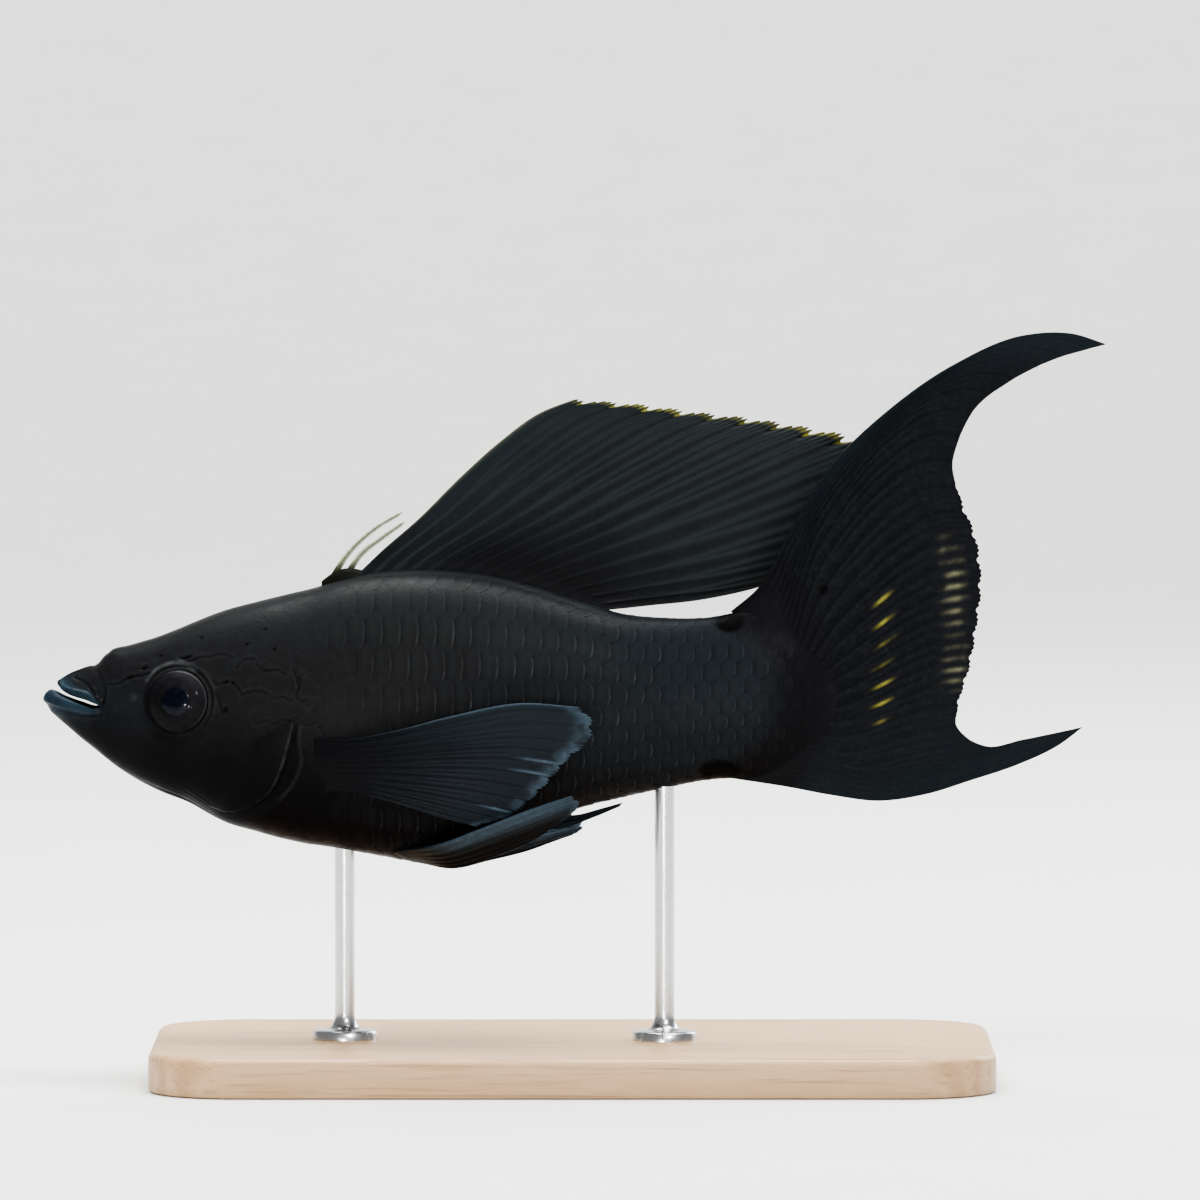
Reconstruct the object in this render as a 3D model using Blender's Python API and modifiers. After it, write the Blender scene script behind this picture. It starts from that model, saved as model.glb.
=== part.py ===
# A black lyretail molly at life size, swimming level above a plain display stand.
# Run it with: blender --background --python part.py
# Lengths are in millimetres up to add_object(), which turns them into metres.
# The fish faces -X, its left side is at -Y, and the stand's foot is at Z = 0.

import math

import bmesh
import bpy
import numpy as np
from mathutils import Matrix, Vector

MM = 0.001
GAP = 0.3

# The tip of the lower lip, and the height of the body's axis above the foot
LIP_X = -52.95
AXIS_Z = 38.0

# The body, from the jaws to the root of the tail fin. Each row is the distance behind
# the lip, the heights of back and belly from the axis, the half width, and how square
# the cross-section is (2 is an ellipse).
BODY = np.array([
    (5.5, 3.8, -5.0, 2.7, 2.7),
    (6.7, 4.9, -6.1, 3.1, 2.7),
    (8.7, 5.5, -7.5, 3.9, 2.6),
    (11.7, 6.4, -9.1, 4.8, 2.5),
    (14.7, 7.6, -10.3, 5.6, 2.4),
    (17.7, 8.8, -12.0, 6.3, 2.3),
    (21.7, 9.9, -13.4, 6.9, 2.3),
    (25.7, 10.9, -14.4, 7.2, 2.2),
    (29.7, 12.1, -15.0, 7.3, 2.2),
    (33.7, 12.8, -15.7, 7.3, 2.2),
    (38.7, 13.0, -16.4, 7.1, 2.2),
    (43.7, 12.6, -15.5, 6.7, 2.2),
    (48.7, 11.5, -13.2, 6.0, 2.1),
    (53.7, 9.9, -10.9, 5.2, 2.1),
    (58.0, 8.8, -9.8, 4.5, 2.0),
    (62.4, 8.4, -8.8, 3.9, 2.0),
    (67.0, 8.5, -7.9, 3.2, 2.0),
    (69.9, 9.0, -7.7, 2.7, 2.0),
    (72.7, 9.3, -7.8, 2.1, 2.0),
    (76.5, 9.4, -7.9, 1.2, 2.0),
])
WIDEST_SHARE = 0.45
SIDES = 32

# The tail swings towards the left, behind this distance from the lip
SWAY_START = 37.7
SWAY_RATE = 0.0022

# Where the body is parted: behind the jaws, along the gill openings, and at the stem
JAW_CUT = 6.25
GILL_CUT = 26.5
GILL_CUT_NAPE = 0.8
GILL_CUT_THROAT = 7.3
HEAD_STRAIGHT = 15.7
TORSO_STRAIGHT = 31.7
STEM_CUT = 57.1
STEM_STRAIGHT = 66.0
FAN_ROOT = 75.7
FAN_ROOT_BULGE = 6.0
CURVED_CUT_GAP = 0.36

# Eyes
EYE_AT = (13.7, 0.2)
EYE_RADIUS = 3.2
EYE_DEPTH = 2.1
EYE_SINK = 1.1
EYE_LOOKS = (-0.24, 1.0, 0.12)
ORBIT_RADIUS = 3.5
ORBIT_RIM = 0.45
ORBIT_SINK = 0.12

# Nostrils, two on each side
NOSTRILS = ((8.9, 2.5), (10.3, 3.4))
NOSTRIL_RADIUS = 0.35

# Gill covers: an outline of distance behind the lip and height from the axis
GILL_COVER = (
    (25.4, -1.1), (24.4, -4.8), (23.2, -8.3), (21.0, -10.3), (18.4, -10.6),
    (16.5, -8.2), (16.4, -4.4), (18.4, -0.8), (22.0, 0.9),
)
GILL_COVER_CENTRE = (20.9, -4.9)
GILL_COVER_THICK = 0.8
GILL_COVER_LIFT = 0.35
GILL_COVER_POINTS = 27

# Jaws: distance behind the lip, upper and lower height from the axis, half width
UPPER_JAW = np.array([
    (1.5, 2.05, 1.60, 0.70),
    (1.9, 2.35, 1.15, 1.35),
    (2.7, 2.70, 0.70, 1.95),
    (3.7, 3.10, 0.30, 2.40),
    (4.9, 3.60, -0.15, 2.70),
    (5.95, 4.20, -0.50, 2.88),
])
LOWER_JAW = np.array([
    (0.15, 0.65, -0.25, 0.80),
    (0.6, 0.95, -0.90, 1.40),
    (1.4, 0.70, -1.70, 2.00),
    (2.5, 0.25, -2.65, 2.42),
    (3.7, -0.15, -3.70, 2.66),
    (4.9, -0.60, -4.65, 2.80),
    (5.95, -0.92, -5.50, 2.90),
])
JAW_SQUARENESS = 2.5
JAW_WIDEST_SHARE = {"upper_jaw": 0.35, "lower_jaw": 0.66}
JAW_SIDES = 20
LIP_RADIUS = (0.16, 0.46, 0.56)
LIP_SINK = 0.5
LIP_INSET = (0.36, 0.62)
LIP_STEPS = 18

# Fins: half thickness of the membrane, the height of a ray above it, the half width of a
# ray as a share of the space between rays, how far the membrane ends short of the tips,
# and half of the slit between two lengths of one fin
MEMBRANE = 0.26
RAY_RELIEF = 0.2
RAY_FLANK = 0.26
TIP_NOTCH = 0.022
SLIT_HALF = 0.17

# Outlines of the fins, as distance behind the lip and height from the axis
DORSAL_ROOT = (31.2, 56.2)
DORSAL_FRONT = ((33.7, 14.7), (37.7, 18.2), (41.7, 22.2), (45.7, 25.8), (49.7, 28.7), (53.5, 30.2))
DORSAL_TOP = (
    (53.5, 30.2), (59.7, 29.7), (65.7, 28.9), (71.7, 28.2), (77.7, 27.2), (81.7, 26.2),
    (83.9, 24.4), (84.1, 21.3), (82.5, 17.5), (79.5, 14.4), (76.3, 12.8),
)
DORSAL_REAR = ((60.7, 9.5), (65.7, 10.0), (71.2, 11.1), (76.3, 12.8))
DORSAL_RAYS = 15
DORSAL_ROWS = 10
DORSAL_ROOT_HALF = 0.75
DORSAL_LEAN = 2.6
DORSAL_WAVE = 0.5
SPINES = (
    ((28.4, 11.6), (30.7, 14.8), (33.2, 17.1), (36.0, 18.8)),
    ((29.9, 12.2), (31.8, 14.5), (34.2, 16.4), (36.2, 17.8)),
)
SPINE_RADIUS = 0.34
SHEATH = (27.8, 33.2)

CAUDAL_TOP = (
    (71.4, 11.2), (74.7, 17.0), (78.7, 23.5), (84.5, 29.2), (91.2, 33.9), (97.7, 36.7),
    (102.7, 36.9), (105.9, 35.9),
)
CAUDAL_TRAIL = (
    (105.9, 35.9), (100.2, 34.1), (96.1, 31.9), (93.2, 29.6), (91.5, 26.5), (90.8, 23.7),
    (91.9, 20.0), (93.2, 16.8), (93.8, 12.5), (93.4, 8.0), (92.6, 3.5), (91.5, -0.2),
    (91.2, -2.1), (92.3, -3.4), (94.2, -4.2), (97.7, -3.5), (101.2, -2.7), (103.7, -2.1),
)
CAUDAL_FOOT = (
    (74.3, -8.5), (78.9, -9.3), (83.5, -9.8), (88.1, -9.1), (92.7, -7.6), (97.2, -6.0),
    (101.4, -3.9), (103.7, -2.1),
)
CAUDAL_RAYS = 19
CAUDAL_ROWS = 10
CAUDAL_SPLITS = (6, 14)

# Paired fins also give how far each point is from the middle plane
PECTORAL_ROOT = ((27.7, -3.3), (28.1, -8.6))
PECTORAL_TOP = (
    (30.5, -3.4, 8.4), (35.3, -2.5, 9.6), (41.2, -0.9, 10.9), (47.7, 0.4, 12.1), (53.7, 0.1, 12.9),
)
PECTORAL_RIM = (
    (53.7, 0.1, 12.9), (55.1, -1.2, 13.0), (54.9, -3.1, 12.6), (52.9, -5.0, 11.7),
    (51.2, -7.0, 10.6), (49.5, -8.9, 9.6), (47.0, -11.0, 8.4), (43.5, -12.2, 7.4),
)
PECTORAL_FOOT = ((31.7, -8.8, 7.7), (35.7, -9.9, 7.7), (39.7, -11.2, 7.3), (43.5, -12.2, 7.4))
PECTORAL_RAYS = 12
PECTORAL_ROWS = 8
PECTORAL_ROOT_HALF = 0.55
PECTORAL_SPREAD = {-1: 1.0, 1: 1.35}

PELVIC_ROOT = ((35.3, 3.0), (37.1, 1.5))
PELVIC_FRONT = {
    -1: ((39.7, -14.1, 6.6), (43.7, -12.4, 8.7), (48.7, -10.3, 10.4), (53.0, -8.8, 11.3)),
    1: ((39.7, -15.5, 5.6), (43.7, -15.0, 7.6), (48.7, -14.1, 9.2), (54.0, -12.9, 10.4)),
}
PELVIC_RIM = {
    -1: ((53.0, -8.8, 11.3), (53.7, -9.4, 11.1), (53.2, -10.5, 10.0), (51.5, -11.8, 8.4)),
    1: ((54.0, -12.9, 10.4), (54.1, -13.4, 10.2), (53.3, -14.0, 9.5), (51.7, -14.4, 8.4)),
}
PELVIC_INNER = {
    -1: ((40.6, -16.5, 3.2), (44.5, -15.5, 4.9), (48.2, -14.0, 6.6), (51.5, -11.8, 8.4)),
    1: ((40.7, -17.0, 3.4), (44.5, -16.4, 5.2), (48.2, -15.6, 6.8), (51.7, -14.4, 8.4)),
}
PELVIC_RAYS = 6
PELVIC_ROWS = 7
PELVIC_ROOT_HALF = 0.5

ANAL_ROOT = (48.5, 51.3)
ANAL_FRONT = ((51.7, -12.9), (55.2, -11.7), (57.8, -10.6))
ANAL_REAR = ((53.4, -11.5), (55.7, -10.9), (58.1, -10.2))
ANAL_RAYS = 3
ANAL_ROWS = 7
ANAL_ROOT_HALF = 0.7

# The display stand
BASE_SIZE = (84.0, 46.0, 4.0)
BASE_CORNER = 9.0
BASE_EDGE = 0.8
ROD_RADIUS = 1.0
ROD_FOOT = ((1.0, 2.2), (1.25, 1.5), (1.8, 1.05), (3.2, 0.9), (3.2, 0.0))
ROD_STEPS = 24
RODS = {"front": 30.2, "rear": 62.2}

FINISHES = {
    "skin": ((0.018, 0.017, 0.018), 0.42, 0.0),
    "fin": ((0.014, 0.017, 0.020), 0.45, 0.0),
    "eye": ((0.006, 0.006, 0.009), 0.08, 0.0),
    "base": ((0.42, 0.27, 0.15), 0.45, 0.0),
    "rod": ((0.62, 0.62, 0.62), 0.28, 1.0),
}


# Curves and the body's surface

def smooth(table, column, at):
    """Value of a table's column at a place, on a cubic through its rows."""
    places, values = table[:, 0], table[:, column]
    slopes = np.gradient(values, places)
    i = np.clip(np.searchsorted(places, at) - 1, 0, len(places) - 2)
    step = places[i + 1] - places[i]
    t = (at - places[i]) / step
    start = (1 + 2 * t) * (1 - t) ** 2 * values[i] + t * (1 - t) ** 2 * step * slopes[i]
    end = t * t * (3 - 2 * t) * values[i + 1] + t * t * (t - 1) * step * slopes[i + 1]
    return start + end


def smooth_table(points, places):
    """A smooth curve through 3-D points that lie at given places along it."""
    table = np.column_stack([np.array(places, float), np.array(points, float)])
    return lambda t: np.array([smooth(table, k, t) for k in (1, 2, 3)])


def curve_through(points):
    """A smooth curve through 3-D points, as a function of its share of length."""
    lengths = np.linalg.norm(np.diff(np.array(points, float), axis=0), axis=1)
    return smooth_table(points, np.concatenate([[0.0], np.cumsum(lengths)]) / lengths.sum())


def fade(t):
    """1 at 0 and below, falling smoothly to 0 at 1."""
    t = min(max(t, 0.0), 1.0)
    return (1 - t) ** 2


def sway(s):
    """How far the middle plane lies to the side, at a distance behind the lip."""
    return -SWAY_RATE * max(s - SWAY_START, 0.0) ** 2


def body_middle(s):
    """Height of the widest line, with the heights of back and belly."""
    back, belly = smooth(BODY, 1, s), smooth(BODY, 2, s)
    return belly + WIDEST_SHARE * (back - belly), back, belly


def body_side(s, h):
    """Half width of the body at a distance behind the lip and a height from the axis."""
    middle, back, belly = body_middle(s)
    reach = (back - middle) if h > middle else (middle - belly)
    power = smooth(BODY, 4, s)
    share = min(abs(h - middle) / reach, 1.0)
    return smooth(BODY, 3, s) * (1 - share ** power) ** (1 / power)


def body_edge(s, across, up):
    """Height of the back (up = 1) or belly (up = -1), beside the middle plane."""
    middle, back, belly = body_middle(s)
    reach = (back - middle) if up > 0 else (belly - middle)
    power = smooth(BODY, 4, s)
    share = min(abs(across) / smooth(BODY, 3, s), 1.0)
    return middle + reach * (1 - share ** power) ** (1 / power)


def place(s, h, across):
    """Model coordinates of a point on the fish, in millimetres."""
    return np.array([LIP_X + s, across + sway(s), AXIS_Z + h])


def power_of(value, power):
    return math.copysign(abs(value) ** power, value)


def body_point(s, angle):
    """A point of the body's surface. The angle turns from the left side over the back."""
    middle, back, belly = body_middle(s)
    power = 2 / smooth(BODY, 4, s)
    reach = (back - middle) if math.sin(angle) > 0 else (middle - belly)
    across = -smooth(BODY, 3, s) * power_of(math.cos(angle), power)
    return place(s, middle + reach * power_of(math.sin(angle), power), across)


def gill_line(angle):
    """Where the head ends behind the gill covers."""
    rise = math.sin(angle)
    return GILL_CUT - (GILL_CUT_NAPE * rise if rise > 0 else GILL_CUT_THROAT * rise ** 2)


def fan_line(angle):
    """Where the stem ends, on an arc at the root of the tail fin."""
    share = abs(math.sin(angle)) ** (2 / BODY[-1, 4])
    return FAN_ROOT - FAN_ROOT_BULGE * share ** 2


# Meshes and objects

def empty(name, location):
    holder = bpy.data.objects.new(name, None)
    holder.location = Vector(location) * MM
    bpy.context.scene.collection.objects.link(holder)
    return holder


def add_object(name, points, faces, finish, origin, holder):
    """A closed mesh from points in millimetres, with its origin at a named place."""
    origin = Vector([float(c) for c in origin])
    mesh = bpy.data.meshes.new(name)
    mesh.from_pydata([(Vector([float(c) for c in p]) - origin) * MM for p in points], [], faces)
    tidy(mesh)
    return link(name, mesh, finish, origin * MM, holder)


def tidy(mesh):
    """Turns every face outwards."""
    shape = bmesh.new()
    shape.from_mesh(mesh)
    bmesh.ops.recalc_face_normals(shape, faces=shape.faces)
    shape.to_mesh(mesh)
    shape.free()


def link(name, mesh, finish, location, holder):
    obj = bpy.data.objects.new(name, mesh)
    fish_or_stand.objects.link(obj)
    mesh.materials.append(material(name, *FINISHES[finish]))
    mesh.shade_smooth()
    mesh.set_sharp_from_angle(angle=math.radians(40))
    if holder is not None:
        obj.parent = holder
        obj.location = Vector(location) - holder.location
    else:
        obj.location = Vector(location)
    return obj


def material(name, colour, roughness, metallic):
    made = bpy.data.materials.new(name)
    made.use_nodes = True
    shader = made.node_tree.nodes["Principled BSDF"]
    shader.inputs["Base Color"].default_value = (*colour, 1.0)
    shader.inputs["Roughness"].default_value = roughness
    shader.inputs["Metallic"].default_value = metallic
    return made


def skin_of(rings, first_cap, last_cap):
    """Points and faces of a loft through rings, closed at both ends by inner rings."""
    rings = list(reversed(first_cap[:-1])) + rings + last_cap[:-1]
    count = len(rings[0])
    points = [p for ring in rings for p in ring] + [first_cap[-1], last_cap[-1]]
    faces = []
    for r in range(len(rings) - 1):
        for i in range(count):
            j = (i + 1) % count
            a, b = r * count, (r + 1) * count
            faces.append((a + i, a + j, b + j, b + i))
    last = (len(rings) - 1) * count
    start, end = len(points) - 2, len(points) - 1
    for i in range(count):
        j = (i + 1) % count
        faces.append((start, j, i))
        faces.append((end, last + i, last + j))
    return points, faces


def cap_of(ring, centre, shrinks=(0.66, 0.33)):
    """Smaller copies of a ring towards its centre, and the centre itself."""
    return [[centre + (p - centre) * k for p in ring] for k in shrinks] + [centre]


def combine(obj, tools, operation):
    """Joins or cuts an object with closed meshes, which are then removed."""
    group = bpy.data.collections.new("tools")
    bpy.context.scene.collection.children.link(group)
    for tool in tools:
        for user in list(tool.users_collection):
            user.objects.unlink(tool)
        group.objects.link(tool)
    step = obj.modifiers.new(operation.title(), "BOOLEAN")
    step.operation = operation
    step.operand_type = "COLLECTION"
    step.collection = group
    step.solver = "EXACT"
    bpy.context.view_layer.update()
    graph = bpy.context.evaluated_depsgraph_get()
    made = bpy.data.meshes.new_from_object(obj.evaluated_get(graph))
    obj.modifiers.clear()
    obj.data = made
    for tool in tools:
        bpy.data.objects.remove(tool)
    bpy.data.collections.remove(group)
    keep_largest(made)
    made.shade_smooth()
    made.set_sharp_from_angle(angle=math.radians(40))


def keep_largest(mesh):
    """Leaves only the largest closed surface of a mesh."""
    shape = bmesh.new()
    shape.from_mesh(mesh)
    bmesh.ops.triangulate(shape, faces=shape.faces)
    left, groups = set(shape.verts), []
    while left:
        front = [left.pop()]
        group = set(front)
        while front:
            near = {e.other_vert(v) for v in front for e in v.link_edges} - group
            group |= near
            front = list(near)
        left -= group
        groups.append(group)
    groups.sort(key=len)
    for group in groups[:-1]:
        bmesh.ops.delete(shape, geom=list(group), context="VERTS")
    shape.to_mesh(mesh)
    shape.free()


def tube(name, points, radii):
    """A round bar along a smooth line, as a closed mesh."""
    line = bpy.data.curves.new(name, "CURVE")
    line.dimensions = "3D"
    line.bevel_depth = MM
    line.bevel_resolution = 2
    line.use_fill_caps = True
    spline = line.splines.new("POLY")
    spline.points.add(len(points) - 1)
    for knot, point, radius in zip(spline.points, points, radii):
        knot.co = (*(point * MM), 1.0)
        knot.radius = radius
    carrier = bpy.data.objects.new(name + "_line", line)
    bpy.context.scene.collection.objects.link(carrier)
    bpy.context.view_layer.update()
    graph = bpy.context.evaluated_depsgraph_get()
    mesh = bpy.data.meshes.new_from_object(carrier.evaluated_get(graph))
    bpy.data.objects.remove(carrier)
    shape = bmesh.new()
    shape.from_mesh(mesh)
    bmesh.ops.remove_doubles(shape, verts=shape.verts, dist=0.01 * MM)
    bmesh.ops.recalc_face_normals(shape, faces=shape.faces)
    shape.to_mesh(mesh)
    shape.free()
    obj = bpy.data.objects.new(name, mesh)
    bpy.context.scene.collection.objects.link(obj)
    return obj


def ball(name, centre, axis, radii):
    """An ellipsoid of revolution: its radius across the axis, then along it."""
    shape = bmesh.new()
    turn = Vector(axis).to_track_quat("Z", "Y").to_matrix().to_4x4()
    size = Matrix.Diagonal((radii[0], radii[0], radii[1], 1.0))
    where = Matrix.Translation(Vector(centre) * MM) @ turn @ size @ Matrix.Scale(MM, 4)
    bmesh.ops.create_uvsphere(shape, u_segments=20, v_segments=12, radius=1.0, matrix=where)
    mesh = bpy.data.meshes.new(name)
    shape.to_mesh(mesh)
    shape.free()
    obj = bpy.data.objects.new(name, mesh)
    bpy.context.scene.collection.objects.link(obj)
    return obj


# Head, torso and stem

ANGLES = [2 * math.pi * i / SIDES for i in range(SIDES)]


def flat_rings(places):
    return [[body_point(s, a) for a in ANGLES] for s in places]


def ring_along(line, shift=0.0):
    return [body_point(line(a) + shift, a) for a in ANGLES]


def rings_between(start, end, count):
    """Rings that turn from one line round the body into another, both ends included."""
    shares = [k / (count - 1) for k in range(count)]
    return [
        [body_point(start(a) + (end(a) - start(a)) * share, a) for a in ANGLES]
        for share in shares
    ]


def straight(s):
    return lambda angle: s


def curved_cap(ring, reach):
    """Closes a ring whose rim is curved, bulging along the fish as its rim does."""
    inside = np.mean(ring, axis=0)
    inside[0] = LIP_X + reach
    return cap_of(ring, inside)


def make_head():
    cut = ring_along(gill_line)
    rings = flat_rings(np.linspace(JAW_CUT, HEAD_STRAIGHT, 10)[:-1])
    rings += rings_between(straight(HEAD_STRAIGHT), gill_line, 9)
    front = cap_of(rings[0], np.mean(rings[0], axis=0))
    points, faces = skin_of(rings, front, curved_cap(cut, GILL_CUT))
    head = add_object("head", points, faces, "skin", place(EYE_AT[0], 0, 0), fish)
    combine(head, [orbit_rim(side) for side in (-1, 1)], "UNION")
    hollows = [eye_ball("socket", side, GAP) for side in (-1, 1)]
    hollows += [gill_recess(side) for side in (-1, 1)]
    hollows += [nostril(side, spot) for side in (-1, 1) for spot in NOSTRILS]
    combine(head, hollows, "DIFFERENCE")


def make_torso():
    start = lambda angle: gill_line(angle) + CURVED_CUT_GAP
    rings = rings_between(start, straight(TORSO_STRAIGHT), 5)
    rings += flat_rings(np.linspace(TORSO_STRAIGHT, STEM_CUT - GAP, 14)[1:])
    front = curved_cap(rings[0], GILL_CUT + CURVED_CUT_GAP)
    rear = cap_of(rings[-1], np.mean(rings[-1], axis=0))
    points, faces = skin_of(rings, front, rear)
    add_object("torso", points, faces, "skin", place(SWAY_START, 0, 0), fish)


def make_stem():
    rings = flat_rings(np.linspace(STEM_CUT, STEM_STRAIGHT, 4)[:-1])
    rings += rings_between(straight(STEM_STRAIGHT), fan_line, 6)
    front = cap_of(rings[0], np.mean(rings[0], axis=0))
    points, faces = skin_of(rings, front, curved_cap(rings[-1], FAN_ROOT))
    add_object("tail_stem", points, faces, "skin", place(STEM_CUT, 0, 0), fish)


# Eyes, nostrils and gill covers

def eye_axis(side):
    return Vector((EYE_LOOKS[0], side * EYE_LOOKS[1], EYE_LOOKS[2])).normalized()


def eye_surface(side):
    """The place on the body's side that an eye is set round."""
    return Vector(place(*EYE_AT, side * body_side(*EYE_AT)))


def eye_ball(name, side, growth):
    centre = eye_surface(side) - eye_axis(side) * EYE_SINK
    radii = (EYE_RADIUS + growth, EYE_DEPTH + growth)
    return ball(name, centre, eye_axis(side), radii)


def orbit_rim(side):
    """A low ring of skin round the eye."""
    bpy.ops.mesh.primitive_torus_add(
        major_radius=ORBIT_RADIUS * MM,
        minor_radius=ORBIT_RIM * MM,
        major_segments=26,
        minor_segments=8,
        location=(eye_surface(side) - eye_axis(side) * ORBIT_SINK) * MM,
        rotation=eye_axis(side).to_track_quat("Z", "Y").to_euler(),
    )
    return bpy.context.active_object


def nostril(side, spot):
    at = place(*spot, side * body_side(*spot))
    return ball("nostril", at, (0, side, 0.3), (NOSTRIL_RADIUS, NOSTRIL_RADIUS * 1.6))


def gill_outline(growth):
    """Points round the gill cover, grown outwards by a margin."""
    around = len(GILL_COVER)
    knots = [(*GILL_COVER[k % around], 0.0) for k in range(-2, around + 3)]
    line = smooth_table(knots, range(-2, around + 3))
    centre = np.array(GILL_COVER_CENTRE)
    points = []
    for k in range(GILL_COVER_POINTS):
        point = line(k * around / GILL_COVER_POINTS)[:2]
        out = point - centre
        points.append(point + out / np.linalg.norm(out) * growth)
    return points


def gill_layer(side, outline, share, lift, rise):
    """The outline shrunk about its centre, lifted off the cheek and rising to the rear."""
    centre = np.array(GILL_COVER_CENTRE)
    front, rear = min(p[0] for p in outline), max(p[0] for p in outline)
    points = []
    for p in outline:
        s, h = centre + (p - centre) * share
        off = lift + rise * max((s - front) / (rear - front), 0.0) ** 2
        points.append(place(s, h, side * (body_side(s, h) + off)))
    return points


def gill_shape(name, side, growth, levels, holder):
    """A closed shape over the cheek. Each level is the share of the outline, the lift off
    the cheek and the rise to the rear, from the outer face to the inner one."""
    outline = gill_outline(growth)
    rings = [gill_layer(side, outline, *level) for level in levels]
    caps = []
    for level in (levels[0], levels[-1]):
        inner = [gill_layer(side, outline, share, *level[1:]) for share in (0.7, 0.38)]
        caps.append(inner + [np.mean(inner[-1], axis=0)])
    points, faces = skin_of(rings, *caps)
    origin = caps[0][-1] if holder else (0, 0, 0)
    return add_object(name, points, faces, "skin", origin, holder)


def gill_cover(name, side):
    levels = ((0.95, 0.0, GILL_COVER_LIFT), (1.0, -0.2, GILL_COVER_LIFT), (1.0, -GILL_COVER_THICK, 0.0))
    gill_shape(name, side, 0.0, levels, fish)


def gill_recess(side):
    levels = ((1.0, 2.0, 0.0), (1.0, 0.4, 0.0), (1.0, -GILL_COVER_THICK - GAP, 0.0))
    return gill_shape("recess", side, GAP, levels, None)


# Jaws

def jaw_rings(table, widest):
    rings = []
    for s in table[:, 0]:
        top, foot, half = (smooth(table, k, s) for k in (1, 2, 3))
        middle = foot + widest * (top - foot)
        ring = []
        for i in range(JAW_SIDES):
            angle = 2 * math.pi * i / JAW_SIDES
            reach = (top - middle) if math.sin(angle) > 0 else (middle - foot)
            across = -half * power_of(math.cos(angle), 2 / JAW_SQUARENESS)
            rise = reach * power_of(math.sin(angle), 2 / JAW_SQUARENESS)
            ring.append(place(s, middle + rise, across))
        rings.append(ring)
    return rings


def lip_bar(name, table, column, inwards):
    """A bar along the mouth's edge, thickest in front and sinking in at the corners."""
    def edge(s, side):
        inset = np.interp(s, (table[0, 0], table[-2, 0]), LIP_INSET)
        half = side * (smooth(table, 3, s) - inset)
        return place(s + inset, smooth(table, column, s) + inwards * LIP_SINK, half)

    places = list(table[:-1, 0])
    points = [edge(s, -1) for s in reversed(places)] + [edge(places[0], 0)] + [edge(s, 1) for s in places]
    line = curve_through(points)
    shares = [k / LIP_STEPS for k in range(LIP_STEPS + 1)]
    radii = [np.interp(1 - abs(2 * share - 1), (0.0, 0.35, 1.0), LIP_RADIUS) for share in shares]
    return tube(name, [line(share) for share in shares], radii)


def make_jaw(name, table, column, inwards):
    rings = jaw_rings(table, JAW_WIDEST_SHARE[name])
    nose = np.mean(rings[0], axis=0) - np.array((0.15, 0, 0))
    back = cap_of(rings[-1], np.mean(rings[-1], axis=0))
    points, faces = skin_of(rings, cap_of(rings[0], nose, (0.6,)), back)
    jaw = add_object(name, points, faces, "skin", place(JAW_CUT, 0, 0), fish)
    combine(jaw, [lip_bar(name + "_lip", table, column, inwards)], "UNION")


# Fins

def sheet_point(edges, u, v):
    """A point of the sheet between a fin's root, outer, first and last edges."""
    root, outer, first, last = edges
    corners = (1 - u) * (1 - v) * root(0.0) + u * (1 - v) * root(1.0)
    corners = corners + (1 - u) * v * outer(0.0) + u * v * outer(1.0)
    across = (1 - v) * root(u) + v * outer(u)
    along = (1 - u) * first(v) + u * last(v)
    return across + along - corners


def sheet_normal(edges, u, v, sign):
    step = 0.01
    u0, u1 = max(u - step, 0.0), min(u + step, 1.0)
    v0, v1 = max(v - step, 0.0), min(v + step, 1.0)
    across = sheet_point(edges, u1, v) - sheet_point(edges, u0, v)
    along = sheet_point(edges, u, v1) - sheet_point(edges, u, v0)
    out = np.cross(across, along)
    out = out / np.linalg.norm(out)
    return out if out[1] * sign > 0 else -out


def ray_columns(rays, first, last):
    """Places across a fin, each with 1 on a ray's crest and 0 on the membrane."""
    pitch = 1 / (rays - 1)
    columns = [] if first == 0 else [((first - 0.5) * pitch, 0)]
    for k in range(first, last + 1):
        sides = [(-RAY_FLANK, 0), (0, 1), (RAY_FLANK, 0)] if RAY_RELIEF else [(0, 1)]
        columns += [((k + shift) * pitch, crest) for shift, crest in sides
                    if 0 <= k + shift <= rays - 1]
    if last < rays - 1:
        columns.append(((last + 0.5) * pitch, 0))
    return columns


def fin(name, edges, rays, rows, root_half, normal=None, seat=None, part=None, shape=None):
    """A fin of rays and membrane, fanned between its edges.

    part gives the first and last ray where the fin is built in lengths, and shape moves
    the sheet's points sideways."""
    first, last = part or (0, rays - 1)
    columns = ray_columns(rays, first, last)
    inner, outer = [], []
    for number, (u, crest) in enumerate(columns):
        end = 1.0 - (0.0 if crest else TIP_NOTCH)
        starts_cut = number == 0 and first > 0
        ends_cut = number == len(columns) - 1 and last < rays - 1
        edge_cut = SLIT_HALF * (starts_cut - ends_cut)
        near, far = [], []
        for row in range(rows):
            v = end * row / (rows - 1)
            point = sheet_point(edges, u, v)
            if edge_cut:
                point = point + edge_cut * across_rays(edges, u, v)
            if shape:
                point = point + shape(u, v)
            out = np.array((0.0, 1.0, 0.0)) if normal is None else sheet_normal(edges, u, v, normal)
            half = half_thickness(u, v, crest, root_half)
            if row == 0 and seat:
                near.append(seat(point, -1, half))
                far.append(seat(point, 1, half))
            else:
                near.append(point - out * half)
                far.append(point + out * half)
        inner.append(near)
        outer.append(far)
    return two_faced(name, inner, outer, edges[0](0.0))


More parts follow.
